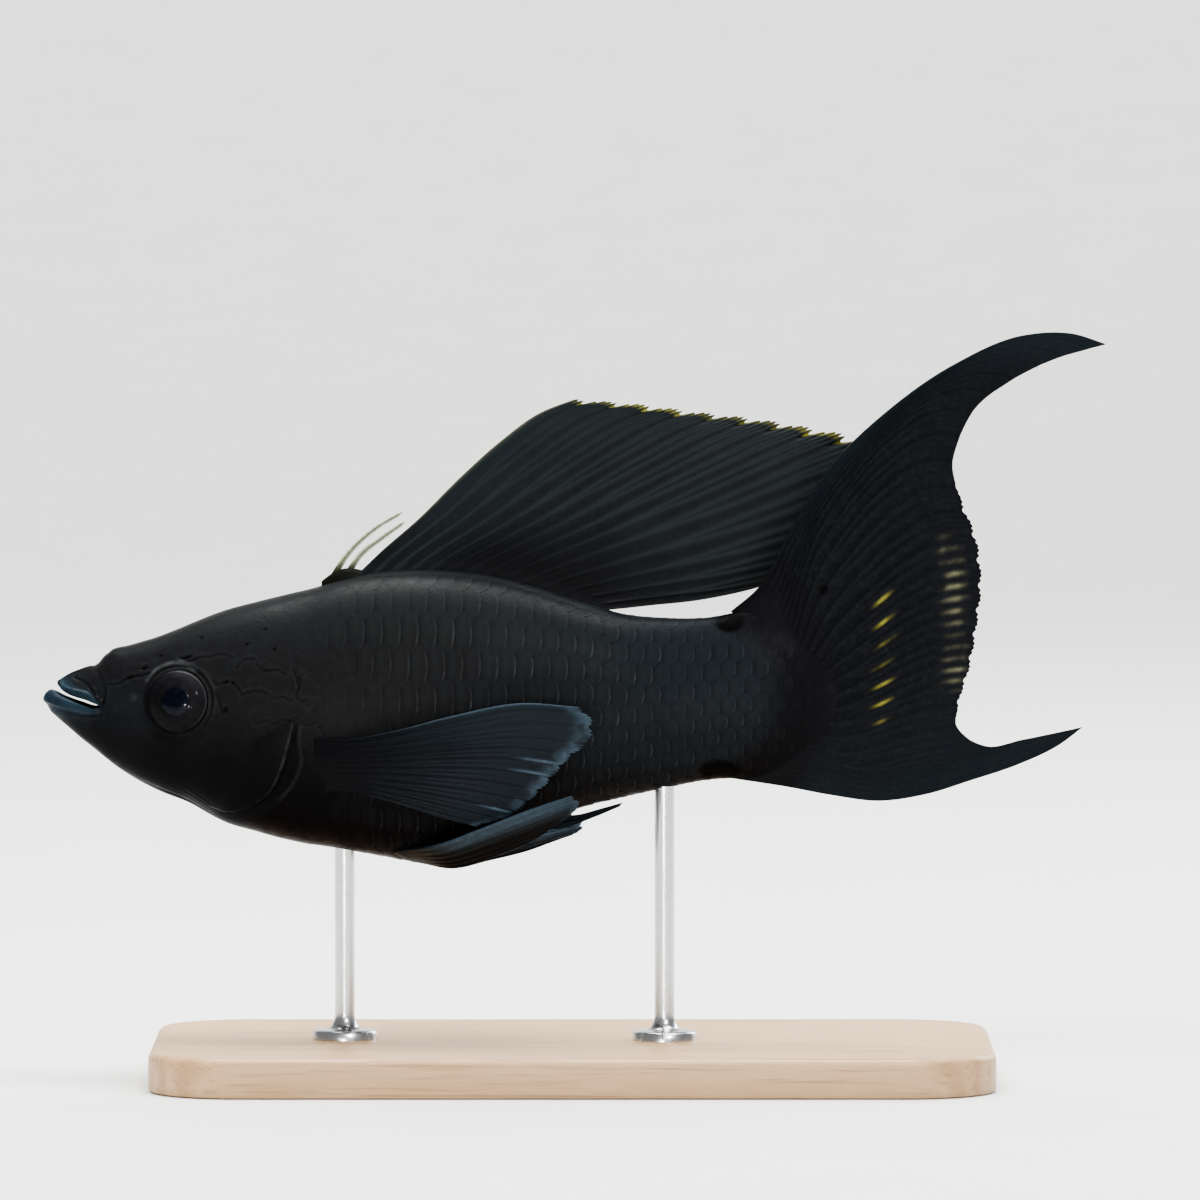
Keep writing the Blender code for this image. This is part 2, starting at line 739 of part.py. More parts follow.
def across_rays(edges, u, v):
    """Direction across the rays, in the sheet, towards the last ray."""
    step = 0.01
    across = sheet_point(edges, u + step, v) - sheet_point(edges, u - step, v)
    v0, v1 = max(v - step, 0.0), min(v + step, 1.0)
    along = sheet_point(edges, u, v1) - sheet_point(edges, u, v0)
    along = along / np.linalg.norm(along)
    across = across - along * np.dot(across, along)
    return across / np.linalg.norm(across)


def half_thickness(u, v, crest, root_half):
    root = root_half(u) if callable(root_half) else root_half
    thick = MEMBRANE + (max(root, MEMBRANE) - MEMBRANE) * fade(v / 0.3)
    thick += crest * RAY_RELIEF * (1 - 0.6 * v) * min(v / 0.12, 1.0)
    return thick * (1 - 0.45 * max(v - 0.85, 0.0) / 0.15)


def two_faced(name, inner, outer, origin):
    """A closed thin mesh from two faces of points, split into triangles alike."""
    columns, rows = len(inner), len(inner[0])
    points = [p for column in inner for p in column] + [p for column in outer for p in column]
    shift = columns * rows
    faces = []
    for c in range(columns - 1):
        for r in range(rows - 1):
            a, b = c * rows + r, (c + 1) * rows + r
            faces += [(a, b, b + 1), (a, b + 1, a + 1)]
            faces += [(shift + a, shift + b + 1, shift + b), (shift + a, shift + a + 1, shift + b + 1)]
    rim = [c * rows for c in range(columns)]
    rim += [(columns - 1) * rows + r for r in range(1, rows)]
    rim += [c * rows + rows - 1 for c in range(columns - 2, -1, -1)]
    rim += list(range(rows - 2, 0, -1))
    for k, a in enumerate(rim):
        b = rim[(k + 1) % len(rim)]
        faces += [(a, shift + a, b), (shift + a, shift + b, b)]
    return add_object(name, points, faces, "fin", origin, fish)


def flat_edge(points, start=None):
    """A fin's edge in the middle plane, from pairs of distance and height."""
    knots = [place(s, h, 0.0) for s, h in points]
    return curve_through(knots if start is None else [start, *knots])


def make_dorsal():
    def root(u):
        s = DORSAL_ROOT[0] + (DORSAL_ROOT[1] - DORSAL_ROOT[0]) * u
        return place(s, smooth(BODY, 1, s) + GAP, 0.0)

    def lean(u, v):
        """Carries the fin's sheet off the swaying middle plane, and leans it."""
        s = sheet_point(edges, u, v)[0] - LIP_X
        root_s = DORSAL_ROOT[0] + (DORSAL_ROOT[1] - DORSAL_ROOT[0]) * u
        wave = DORSAL_WAVE * math.sin(2.2 * math.pi * u) * v
        return np.array((0.0, sway(root_s) - sway(s) + DORSAL_LEAN * u * v ** 1.3 + wave, 0.0))

    front, rear = flat_edge(DORSAL_FRONT, root(0.0)), flat_edge(DORSAL_REAR, root(1.0))
    edges = (root, flat_edge(DORSAL_TOP), front, rear)
    dorsal = fin("dorsal_fin", edges, DORSAL_RAYS, DORSAL_ROWS, DORSAL_ROOT_HALF, shape=lean)
    combine(dorsal, [sheath()] + [spine(points) for points in SPINES], "UNION")


def sheath():
    """The low fleshy fold that the free spines in front of the dorsal fin grow from."""
    rings = []
    for k in range(9):
        share = k / 8
        s = SHEATH[0] + (SHEATH[1] - SHEATH[0]) * share
        half = 0.25 + 0.5 * math.sin(math.pi * share)
        high = 0.35 + 0.6 * math.sin(math.pi * min(share * 1.3, 1.0)) + 0.25 * share
        foot = smooth(BODY, 1, s) + GAP
        ring = [place(s, foot, -half), place(s, foot + high * 0.6, -half * 0.8), place(s, foot + high, 0.0),
                place(s, foot + high * 0.6, half * 0.8), place(s, foot, half)]
        rings.append(ring)
    points, faces = skin_of(rings, cap_of(rings[0], np.mean(rings[0], axis=0), (0.5,)),
                            cap_of(rings[-1], np.mean(rings[-1], axis=0), (0.5,)))
    return add_object("sheath", points, faces, "fin", (0, 0, 0), None)


def spine(points):
    s, h = points[0]
    foot = place(s + 0.3, smooth(BODY, 1, s + 0.3) + GAP + 0.15, 0.0)
    line = curve_through([foot] + [place(*p, 0.0) for p in points[1:]])
    count = 9
    knots = [line(k / (count - 1)) for k in range(count)]
    radii = [SPINE_RADIUS * (1 - 0.5 * k / (count - 1)) for k in range(count)]
    return tube("spine", knots, radii)


def make_caudal():
    def root(u):
        share = 1 - 2 * u
        s = FAN_ROOT - FAN_ROOT_BULGE * share ** 2
        middle, back, belly = body_middle(s)
        reach = (back - middle) if share > 0 else (middle - belly)
        return place(s + GAP, middle + reach * share, 0.0)

    def root_half(u):
        share = abs(1 - 2 * u)
        s = FAN_ROOT - FAN_ROOT_BULGE * share ** 2
        power = BODY[-1, 4]
        return smooth(BODY, 3, s) * (1 - share ** power) ** (1 / power)

    top, foot = flat_edge(CAUDAL_TOP, root(0.0)), flat_edge(CAUDAL_FOOT, root(1.0))
    edges = (root, flat_edge(CAUDAL_TRAIL), top, foot)
    starts = (0, CAUDAL_SPLITS[0] + 1, CAUDAL_SPLITS[1] + 1, CAUDAL_RAYS)
    for name, first, after in zip(("upper_lobe", "fan", "lower_lobe"), starts, starts[1:]):
        fin("caudal_" + name, edges, CAUDAL_RAYS, CAUDAL_ROWS, root_half, part=(first, after - 1))


def make_pectoral(name, side):
    spread = PECTORAL_SPREAD[side]
    rest = body_side(*PECTORAL_ROOT[0])

    def edge(points, start=None):
        knots = [place(s, h, side * (rest + (y - rest) * spread)) for s, h, y in points]
        return curve_through(knots if start is None else [start, *knots])

    def root(u):
        (s0, h0), (s1, h1) = PECTORAL_ROOT
        s, h = s0 + (s1 - s0) * u, h0 + (h1 - h0) * u
        return place(s, h, side * (body_side(s, h) + GAP))

    def seat(point, face, half):
        """The two faces stand one behind the other on the flank."""
        s, h = point[0] - LIP_X - face * side * (half + 0.15), point[2] - AXIS_Z
        return place(s, h, side * (body_side(s, h) + GAP))

    edges = (root, edge(PECTORAL_RIM), edge(PECTORAL_TOP, root(0.0)), edge(PECTORAL_FOOT, root(1.0)))
    fin(name, edges, PECTORAL_RAYS, PECTORAL_ROWS, PECTORAL_ROOT_HALF, normal=1, seat=seat)


def make_pelvic(name, side):
    def edge(points, start=None):
        knots = [place(s, h, side * y) for s, h, y in points]
        return curve_through(knots if start is None else [start, *knots])

    def root(u):
        (s0, y0), (s1, y1) = PELVIC_ROOT
        s, y = s0 + (s1 - s0) * u, y0 + (y1 - y0) * u
        return place(s, body_edge(s, y, -1) - GAP, side * y)

    def seat(point, face, half):
        """The two faces stand one behind the other on the belly."""
        s, y = point[0] - LIP_X - face * side * (half + 0.1), abs(point[1])
        return place(s, body_edge(s, y, -1) - GAP, side * y)

    front, inner = edge(PELVIC_FRONT[side], root(0.0)), edge(PELVIC_INNER[side], root(1.0))
    edges = (root, edge(PELVIC_RIM[side]), front, inner)
    fin(name, edges, PELVIC_RAYS, PELVIC_ROWS, PELVIC_ROOT_HALF, normal=1, seat=seat)


def make_anal():
    def root(u):
        s = ANAL_ROOT[0] + (ANAL_ROOT[1] - ANAL_ROOT[0]) * u
        return place(s, smooth(BODY, 2, s) - GAP, 0.0)

    rim = (ANAL_FRONT[-1], ANAL_REAR[-1])
    edges = (root, flat_edge(rim), flat_edge(ANAL_FRONT, root(0.0)), flat_edge(ANAL_REAR, root(1.0)))
    fin("anal_fin", edges, ANAL_RAYS, ANAL_ROWS, ANAL_ROOT_HALF)


# The display stand

def make_base():
    length, width, height = (size * MM for size in BASE_SIZE)
    shape = bmesh.new()
    bmesh.ops.create_cube(shape, size=1.0, matrix=Matrix.Diagonal((length, width, height, 1.0)))
    uprights = [e for e in shape.edges if abs(e.verts[0].co.z - e.verts[1].co.z) > height / 2]
    bmesh.ops.bevel(shape, geom=uprights, offset=BASE_CORNER * MM, segments=8, profile=0.5, affect="EDGES")
    top = [e for e in shape.edges if min(v.co.z for v in e.verts) > height * 0.49]
    bmesh.ops.bevel(shape, geom=top, offset=BASE_EDGE * MM, segments=2, profile=0.5, affect="EDGES")
    mesh = bpy.data.meshes.new("stand_base")
    shape.to_mesh(mesh)
    shape.free()
    link("stand_base", mesh, "base", Vector((0, 0, height / 2)), stand)


def make_rod(name, s):
    """A turned rod whose round foot stands on the base, and whose end meets the belly."""
    start = BASE_SIZE[2] + GAP
    around = [(s + ROD_RADIUS * a, ROD_RADIUS * b) for a in (-1, 0, 1) for b in (-1, 0, 1)]
    belly = min(body_edge(p, y, -1) for p, y in around)
    top = AXIS_Z + belly - GAP - start
    profile = [(0, top), (ROD_RADIUS * 0.8, top), (ROD_RADIUS, top - 0.2), *ROD_FOOT, (0, 0)]
    mesh = bpy.data.meshes.new(name)
    points = [(x * MM, 0, z * MM) for x, z in profile]
    mesh.from_pydata(points, [(k, k + 1) for k in range(len(points) - 1)], [])
    location = Vector((LIP_X + s, sway(s), start)) * MM
    rod = link(name, mesh, "rod", location, stand)
    turn = rod.modifiers.new("Turn", "SCREW")
    turn.steps = turn.render_steps = ROD_STEPS
    turn.use_merge_vertices = True
    turn.merge_threshold = 0.00001
    turn.use_smooth_shade = True


for old in list(bpy.data.objects):
    bpy.data.objects.remove(old)
fish_or_stand = bpy.data.collections.new("black_lyretail_molly")
bpy.context.scene.collection.children.link(fish_or_stand)
fish = empty("molly_axis", (0, 0, AXIS_Z))
stand = empty("stand_foot", (0, 0, 0))

make_head()
make_torso()
make_stem()
make_jaw("upper_jaw", UPPER_JAW, 2, 1)
make_jaw("lower_jaw", LOWER_JAW, 1, -1)
for side_name, side in (("left", -1), ("right", 1)):
    eye = eye_ball("eye_" + side_name, side, 0.0)
    bpy.context.scene.collection.objects.unlink(eye)
    fish_or_stand.objects.link(eye)
    eye.data.materials.append(material(eye.name, *FINISHES["eye"]))
    eye.data.shade_smooth()
    gill_cover("gill_cover_" + side_name, side)
    make_pectoral("pectoral_fin_" + side_name, side)
    make_pelvic("pelvic_fin_" + side_name, side)
make_dorsal()
make_caudal()
make_anal()
make_base()
for rod_name, rod_at in RODS.items():
    make_rod("stand_rod_" + rod_name, rod_at)
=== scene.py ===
# The looks of a black lyretail molly on its stand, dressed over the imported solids.
# Lengths are millimetres up to pieceFrom(), which turns them into metres.
# s is the distance behind the lip, h the height above the fish's axis, y to its right.
import math

import bmesh
import bpy
import numpy as np
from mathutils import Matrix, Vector


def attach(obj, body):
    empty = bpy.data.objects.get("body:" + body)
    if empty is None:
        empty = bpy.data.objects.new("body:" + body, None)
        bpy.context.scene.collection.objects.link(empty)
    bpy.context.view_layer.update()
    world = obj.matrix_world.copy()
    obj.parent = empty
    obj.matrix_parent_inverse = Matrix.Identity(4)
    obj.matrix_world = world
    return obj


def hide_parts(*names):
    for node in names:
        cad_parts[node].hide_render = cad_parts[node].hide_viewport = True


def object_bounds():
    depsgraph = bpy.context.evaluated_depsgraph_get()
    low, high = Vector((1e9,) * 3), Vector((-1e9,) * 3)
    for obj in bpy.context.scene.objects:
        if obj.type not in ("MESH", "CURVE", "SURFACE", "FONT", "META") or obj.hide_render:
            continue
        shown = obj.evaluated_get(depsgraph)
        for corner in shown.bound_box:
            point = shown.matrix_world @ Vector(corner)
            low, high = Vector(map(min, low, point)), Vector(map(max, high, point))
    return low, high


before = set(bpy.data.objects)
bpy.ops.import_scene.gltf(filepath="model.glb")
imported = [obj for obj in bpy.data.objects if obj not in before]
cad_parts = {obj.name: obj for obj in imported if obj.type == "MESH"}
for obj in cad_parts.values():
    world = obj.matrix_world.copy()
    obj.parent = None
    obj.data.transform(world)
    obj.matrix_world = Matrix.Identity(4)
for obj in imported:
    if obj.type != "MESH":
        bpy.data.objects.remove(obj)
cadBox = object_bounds()
print("frame loaded:", len(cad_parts), "nodes")

mm = 0.001
lipX = cadBox[0].x / mm  # the lip is the model's foremost point
axisZ = 38.0
sides = {"left": -1, "right": 1}

body = {
    # distance behind the lip, back, belly, half width, squareness of the section
    "rows": np.array([
        (5.5, 3.8, -5.0, 2.7, 2.7), (6.7, 4.9, -6.1, 3.1, 2.7), (8.7, 5.5, -7.5, 3.9, 2.6),
        (11.7, 6.4, -9.1, 4.8, 2.5), (14.7, 7.6, -10.3, 5.6, 2.4), (17.7, 8.8, -12.0, 6.3, 2.3),
        (21.7, 9.9, -13.4, 6.9, 2.3), (25.7, 10.9, -14.4, 7.2, 2.2), (29.7, 12.1, -15.0, 7.3, 2.2),
        (33.7, 12.8, -15.7, 7.3, 2.2), (38.7, 13.0, -16.4, 7.1, 2.2), (43.7, 12.6, -15.5, 6.7, 2.2),
        (48.7, 11.5, -13.2, 6.0, 2.1), (53.7, 9.9, -10.9, 5.2, 2.1), (58.0, 8.8, -9.8, 4.5, 2.0),
        (62.4, 8.4, -8.8, 3.9, 2.0), (67.0, 8.5, -7.9, 3.2, 2.0), (69.9, 9.0, -7.7, 2.7, 2.0),
        (72.7, 9.3, -7.8, 2.1, 2.0), (76.5, 9.4, -7.9, 1.2, 2.0),
    ]),
    "widestShare": 0.45,
    "swayStart": 37.7,
    "swayRate": 0.0022,
    "gillCut": 26.5,
    "gillNape": 0.8,
    "gillThroat": 7.3,
    "stemStraight": 66.0,
    "fanRoot": 75.7,
    "fanBulge": 6.0,
    "tableEnd": 76.4,
    "thinBefore": 3.5,
    "thinAfter": 5.0,
    "insetEnd": (-5.0, 0.5),
    # black spots: s, h, half length, half height
    "spots": ((68.7, 8.1, 1.4, 1.1), (67.7, -6.9, 1.9, 1.1), (78.1, 11.2, 1.0, 1.0)),
}


# Curves, steps and the body's surface

def cubic(table, column, at):
    at = np.asarray(at, float)
    places, values = table[:, 0], table[:, column]
    slopes = np.gradient(values, places)
    i = np.clip(np.searchsorted(places, at) - 1, 0, len(places) - 2)
    step = places[i + 1] - places[i]
    t = (at - places[i]) / step
    start = (1 + 2 * t) * (1 - t) ** 2 * values[i] + t * (1 - t) ** 2 * step * slopes[i]
    end = t * t * (3 - 2 * t) * values[i + 1] + t * t * (t - 1) * step * slopes[i + 1]
    return start + end


def curveThrough(points):
    knots = np.array(points, float)
    steps = np.linalg.norm(np.diff(knots, axis=0), axis=1)
    reach = np.concatenate([[0.0], np.cumsum(steps)]) / steps.sum()
    table = np.column_stack([reach, knots])
    return lambda t: stacked(*(cubic(table, k, t) for k in range(1, table.shape[1])))


def between(pair, share):
    return pair[0] + (pair[1] - pair[0]) * np.asarray(share, float)


def ramp(value, low, high):
    t = np.clip((np.asarray(value, float) - low) / (high - low), 0, 1)
    return t * t * (3 - 2 * t)


def window(value, rise, fall):
    # up from 0 to 1 over the first span and down again over the second
    return ramp(value, *rise) * (1 - ramp(value, *fall))


def hump(value, width):
    return np.exp(-(np.asarray(value, float) / width) ** 2)


def signedPower(value, power):
    return np.sign(value) * np.abs(value) ** power


def stacked(*values):
    return np.stack(values, axis=-1)


def unit(vectors):
    return vectors / np.maximum(np.linalg.norm(vectors, axis=-1, keepdims=True), 1e-12)


def sway(s):
    return -body["swayRate"] * np.maximum(s - body["swayStart"], 0) ** 2


def place(s, h, across):
    s, h, across = np.broadcast_arrays(*(np.asarray(v, float) for v in (s, h, across)))
    return stacked(lipX + s, across + sway(s), axisZ + h)


def bodyLine(kind, s):
    columns = ("s", "back", "belly", "halfWidth", "square")
    return cubic(body["rows"], columns.index(kind), s)


def bodyMiddle(s):
    back, belly = bodyLine("back", s), bodyLine("belly", s)
    return belly + body["widestShare"] * (back - belly), back, belly


def bodyPoint(s, angle):
    middle, back, belly = bodyMiddle(s)
    rise, out = np.sin(angle), np.cos(angle)
    reach = np.where(rise > 0, back - middle, middle - belly)
    power = 2 / bodyLine("square", s)
    across = -bodyLine("halfWidth", s) * signedPower(out, power)
    return place(s, middle + reach * signedPower(rise, power), across)


def rounded(share, power):
    # how wide a squared ellipse still is at a share of its reach
    return (1 - np.clip(share, 0, 1) ** power) ** (1 / power)


def bodySide(s, h):
    middle, back, belly = bodyMiddle(s)
    reach = np.where(h > middle, back - middle, middle - belly)
    share = np.abs(h - middle) / reach
    return bodyLine("halfWidth", s) * rounded(share, bodyLine("square", s))


def bellyUnder(s, across):
    middle, back, belly = bodyMiddle(s)
    share = np.abs(across) / bodyLine("halfWidth", s)
    return middle + (belly - middle) * rounded(share, bodyLine("square", s))


def gillLine(angle):
    rise = np.sin(angle)
    forward = np.where(rise > 0, body["gillNape"] * rise, body["gillThroat"] * rise ** 2)
    return body["gillCut"] - forward


def fanAt(rise):
    # s of the tail fin's root at a share of its height
    return body["fanRoot"] - body["fanBulge"] * rise ** 2


def fanLine(angle):
    return fanAt(np.sin(angle))


def fleshPoint(s, angle):
    # the body, thinning into the tail fin behind the fan's line
    s, angle = np.broadcast_arrays(np.asarray(s, float), np.asarray(angle, float))
    point = bodyPoint(np.minimum(s, body["tableEnd"]), angle)
    middle = sway(np.minimum(s, body["tableEnd"]))
    thin = 1 - 0.96 * ramp(s - fanLine(angle), -body["thinBefore"], body["thinAfter"])
    point[..., 0] = lipX + s
    point[..., 1] = (point[..., 1] - middle) * thin + sway(s)
    return point


def evenAngles(s, count):
    # angles from the left side over the back, even along the ring in each quarter of it
    dense = (1 - np.cos(np.linspace(0, math.pi, 161))) / 2
    quarter = count // 4
    angles = []
    for q in range(4):
        span = (q + dense) * math.pi / 2
        line = bodyPoint(np.full(span.shape, s), span)
        reach = np.concatenate([[0.0], np.cumsum(np.linalg.norm(np.diff(line, axis=0), axis=1))])
        angles.append(np.interp(np.arange(quarter) / quarter, reach / reach[-1], span))
    return np.concatenate(angles)


# Pieces

def linked(name, data):
    made = bpy.data.objects.new(name, data)
    bpy.context.scene.collection.objects.link(made)
    return made


def newMesh(name, points, faces=()):
    mesh = bpy.data.meshes.new(name)
    mesh.from_pydata(np.asarray(points, float).tolist(), [], list(faces))
    return mesh


def pieceFrom(name, points, faces, material, smoothAngle=None):
    mesh = newMesh(name, np.asarray(points) * mm, faces)
    shape = bmesh.new()
    shape.from_mesh(mesh)
    bmesh.ops.recalc_face_normals(shape, faces=shape.faces)
    shape.to_mesh(mesh)
    shape.free()
    mesh.shade_smooth()
    if smoothAngle:
        mesh.set_sharp_from_angle(angle=math.radians(smoothAngle))
    mesh.materials.append(material)
    return linked(name, mesh)


def addMarks(mesh, name, values):
    # values for the materials and node trees, one number or three at each point
    values = np.asarray(values, np.float32)
    kind, key = ("FLOAT_VECTOR", "vector") if values.ndim > 1 else ("FLOAT", "value")
    mesh.attributes.new(name, kind, "POINT").data.foreach_set(key, values.ravel())


def readMarks(mesh, name):
    marks = mesh.attributes[name]
    key, width = ("vector", 3) if marks.data_type == "FLOAT_VECTOR" else ("value", 1)
    found = np.zeros(len(mesh.vertices) * width, np.float32)
    marks.data.foreach_get(key, found)
    return found.reshape(-1, width)


def handIn(made, slot, *nodes):
    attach(made, "root")
    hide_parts(*nodes)
    print(f"{made.name}: {sum(len(p.vertices) - 2 for p in made.data.polygons)} triangles")


def gridFaces(rows, around):
    # the grid is closed into a ring
    r, c = np.meshgrid(np.arange(rows - 1), np.arange(around), indexing="ij")
    a, b = r * around + c, r * around + (c + 1) % around
    return stacked(a, b, b + around, a + around).reshape(-1, 4).tolist()


def tubeFaces(rows, around):
    ends = [tuple(range(around)), tuple(range((rows - 1) * around, rows * around))]
    return gridFaces(rows, around) + ends


def ballFaces(rows, around):
    # each end is fanned to a pole; the poles are the last two points
    front, back, last = rows * around, rows * around + 1, (rows - 1) * around
    faces = gridFaces(rows, around)
    faces += [(front, (c + 1) % around, c) for c in range(around)]
    faces += [(back, last + c, last + (c + 1) % around) for c in range(around)]
    return faces


def sheetFaces(rows, columns):
    r, c = np.meshgrid(np.arange(rows - 1), np.arange(columns - 1), indexing="ij")
    a = (r * columns + c).ravel()
    return stacked(a, a + columns, a + columns + 1, a + 1)


def rimOf(grid):
    # the border of a grid of point numbers, once round
    return np.concatenate([grid[0], grid[1:, -1], grid[-1, -2::-1], grid[-2:0:-1, 0]])


def circle(count):
    return np.arange(count) * 2 * math.pi / count


# Materials: a wire is one output socket, with arithmetic that adds Math nodes

class Wire:
    def __init__(self, tree, socket=None):
        self.tree, self.socket = tree, socket

    def node(self, kind, settings=None, values=None, out=0):
        made = self.tree.nodes.new(kind)
        for name, value in (settings or {}).items():
            setattr(made, name, value)
        for name, value in (values or {}).items():
            plug(self.tree, made.inputs[name], value)
        return Wire(self.tree, made.outputs[out])

    def math(self, operation, *others):
        values = dict(enumerate((self, *others)))
        return self.node("ShaderNodeMath", {"operation": operation}, values)

    def __add__(self, other):
        return self.math("ADD", other)

    def __sub__(self, other):
        return self.math("SUBTRACT", other)

    def __rsub__(self, other):
        return self.node("ShaderNodeMath", {"operation": "SUBTRACT"}, {0: other, 1: self})

    def __mul__(self, other):
        return self.math("MULTIPLY", other)

    def __truediv__(self, other):
        return self.math("DIVIDE", other)

    def __rtruediv__(self, other):
        return self.node("ShaderNodeMath", {"operation": "DIVIDE"}, {0: other, 1: self})

    def __pow__(self, other):
        return self.math("POWER", other)

    __radd__ = __add__
    __rmul__ = __mul__

    def ramp(self, low, high, start=0.0, end=1.0):
        values = {"Value": self, "From Min": low, "From Max": high, "To Min": start, "To Max": end}
        return self.node("ShaderNodeMapRange", {"interpolation_type": "SMOOTHSTEP"}, values)

    def parts(self):
        split = self.node("ShaderNodeSeparateXYZ", None, {0: self}).socket.node
        return [Wire(self.tree, socket) for socket in split.outputs]


def plug(tree, socket, value):
    if isinstance(value, Wire):
        tree.links.new(value.socket, socket)
    elif isinstance(value, tuple) and len(value) == 3 and socket.type == "RGBA":
        socket.default_value = (*value, 1.0)
    else:
        socket.default_value = value


def dress(wire, shader, values):
    for name, value in values.items():
        plug(wire.tree, shader.inputs[name], value)


def blend(amount, first, second):
    colours = {0: amount, 6: first, 7: second}  # the sockets of a colour mix, which share names
    return amount.node("ShaderNodeMix", {"data_type": "RGBA"}, colours, 2)


def layered(colour, *layers):
    # each layer is the amount of a tone that goes over those before it
    for amount, tone in layers:
        colour = blend(amount, colour, tones[tone])
    return colour


def newMaterial(name, roughness, specular=0.5):
    made = bpy.data.materials.new(name)
    made.use_nodes = True
    shader, wire = made.node_tree.nodes["Principled BSDF"], Wire(made.node_tree)
    dress(wire, shader, {"Roughness": roughness, "Specular IOR Level": specular})
    return made, shader, wire


def objectCoords(wire, scale=(1.0, 1.0, 1.0)):
    where = wire.node("ShaderNodeTexCoord", out="Object")
    return wire.node("ShaderNodeMapping", None, {"Vector": where, "Scale": scale})


def noise(wire, where, scale, detail=3.0, roughness=0.55):
    values = {"Vector": where, "Scale": scale, "Detail": detail, "Roughness": roughness}
    return wire.node("ShaderNodeTexNoise", None, values)


def cells(wire, where, scale):
    return wire.node("ShaderNodeTexVoronoi", None, {"Vector": where, "Scale": scale})


def marksOf(wire, name):
    return wire.node("ShaderNodeAttribute", {"attribute_name": name}, out="Vector").parts()


def bump(wire, height, distance, strength=1.0, under=None):
    values = {"Height": height, "Distance": distance, "Strength": strength}
    if under is not None:
        values["Normal"] = under
    return wire.node("ShaderNodeBump", None, values)


# Colours, in one place because skin, scales and fins share most of them
tones = {
    "warm": (0.0077, 0.0078, 0.0085),
    "cool": (0.0075, 0.0102, 0.0134),
    # deep is painted shade: in creases, pits and the mouth, behind each scale's edge and along the belly
    "deep": (0.0012, 0.0010, 0.0018),
    "spot": (0.0004, 0.0004, 0.0006),
    "stem": (0.0038, 0.0033, 0.0043),
    "root": (0.0020, 0.0018, 0.0025),
    # sheen is a painted sheen on the fins' first and last rays
    "sheen": (0.0100, 0.0160, 0.0190),
    # ash is the skin's and fins' own grey flecks, and also the painted top light and a painted highlight
    # in each scale
    "ash": (0.0155, 0.0182, 0.0183),
    # pale is painted highlight, on skin, scales and the eye's ring
    "pale": (0.0500, 0.0540, 0.0560),
    "lip": (0.0112, 0.0226, 0.0326),
    "fin": (0.0156, 0.0200, 0.0214),
    "finDeep": (0.0050, 0.0062, 0.0073),
    "yellow": (0.3400, 0.3200, 0.0600),
    "window": (0.3000, 0.2900, 0.1700),
    "spine": (0.0700, 0.0820, 0.0400),
    "spineDeep": (0.0300, 0.0360, 0.0180),
    # the spines' pale edges, their own colour with painted backlight
    "paleEdgeAndBacklight": (0.6000, 0.6200, 0.4800),
    "tail": (0.0054, 0.0062, 0.0088),
    "tailDeep": (0.0022, 0.0025, 0.0040),
    "paired": (0.0120, 0.0165, 0.0220),
    "pairedDeep": (0.0038, 0.0050, 0.0072),
    # tip colours the painted sheen at the paired fins' tips and streaks, and the pale band of their
    # first rays
    "tip": (0.1000, 0.1500, 0.2000),
    "iris": (0.0105, 0.0096, 0.0116),
    "irisDeep": (0.0060, 0.0053, 0.0066),
    "pupil": (0.0005, 0.0006, 0.0009),
    "lens": (0.0028, 0.0052, 0.0125),
    "lensDeep": (0.0012, 0.0018, 0.0046),
    # a painted reflection on the lens
    "lensReflection": (0.0060, 0.0140, 0.0260),
    # painted shade in the groove round the eye
    "socket": (0.0014, 0.0013, 0.0017),
    "wood": (0.4600, 0.3000, 0.1650),
    "woodRing": (0.3600, 0.2150, 0.1100),
    "woodRay": (0.5200, 0.3600, 0.2100),
    "woodPore": (0.2200, 0.1250, 0.0600),
    "steel": (0.5500, 0.5500, 0.5600),
    "steelBright": (0.6800, 0.6800, 0.6800),
}


# Where one shade gives way to the next, in s or h; high brings in the painted top light and low the
# painted shade along the belly
fades = {"rear": (36, 64), "high": (2, 12), "stem": (70.5, 75.5), "low": (2, -8)}


def bodyCoords(wire):
    # where, its x and z, and a blotchy value that roughens every border
    where = objectCoords(wire)
    x, y, z = where.parts()
    return where, x, z, noise(wire, where, 210.0, 4.0, 0.6) - 0.5


def fleshColour(wire, coords):
    # warm brown-black in front, blue-black to the rear, paler over the back, a painted top light, and
    # darkest along the belly, painted shade
    where, x, z, blotch = coords

    def fade(name, value, origin):
        start, end = fades[name]
        return value.ramp((origin + start) * mm, (origin + end) * mm)

    rear = fade("rear", x + blotch * 0.03, lipX)
    # high marks the painted top light over the back, low the painted shade along the belly
    high = fade("high", z + blotch * 0.008, axisZ)
    low = fade("low", z + blotch * 0.010, axisZ)
    grain = noise(wire, where, 1500.0, 3.0, 0.7).ramp(0.42, 0.72)
    bulge = (z - (axisZ + 0.8) * mm) / (8.6 * mm)  # bends the border as the fan's root is bent
    tail = fade("stem", x + blotch * 0.004 + bulge * bulge * (body["fanBulge"] * mm), lipX)
    return layered(tones["warm"], (rear, "cool"), (high * 0.3, "ash"), (grain * 0.22, "ash"),
                   (tail * 0.9, "stem"), (low * (0.9 - rear * 0.5), "deep"))


def addSpots(colour, coords):
    x, z, blotch = coords[1:]
    for s, h, long, tall in body["spots"]:
        a = (x - (lipX + s) * mm) / (long * mm)
        b = (z - (axisZ + h) * mm) / (tall * mm)
        colour = layered(colour, ((a * a + b * b + blotch * 1.2).ramp(1.6, 0.7), "spot"))
    return colour


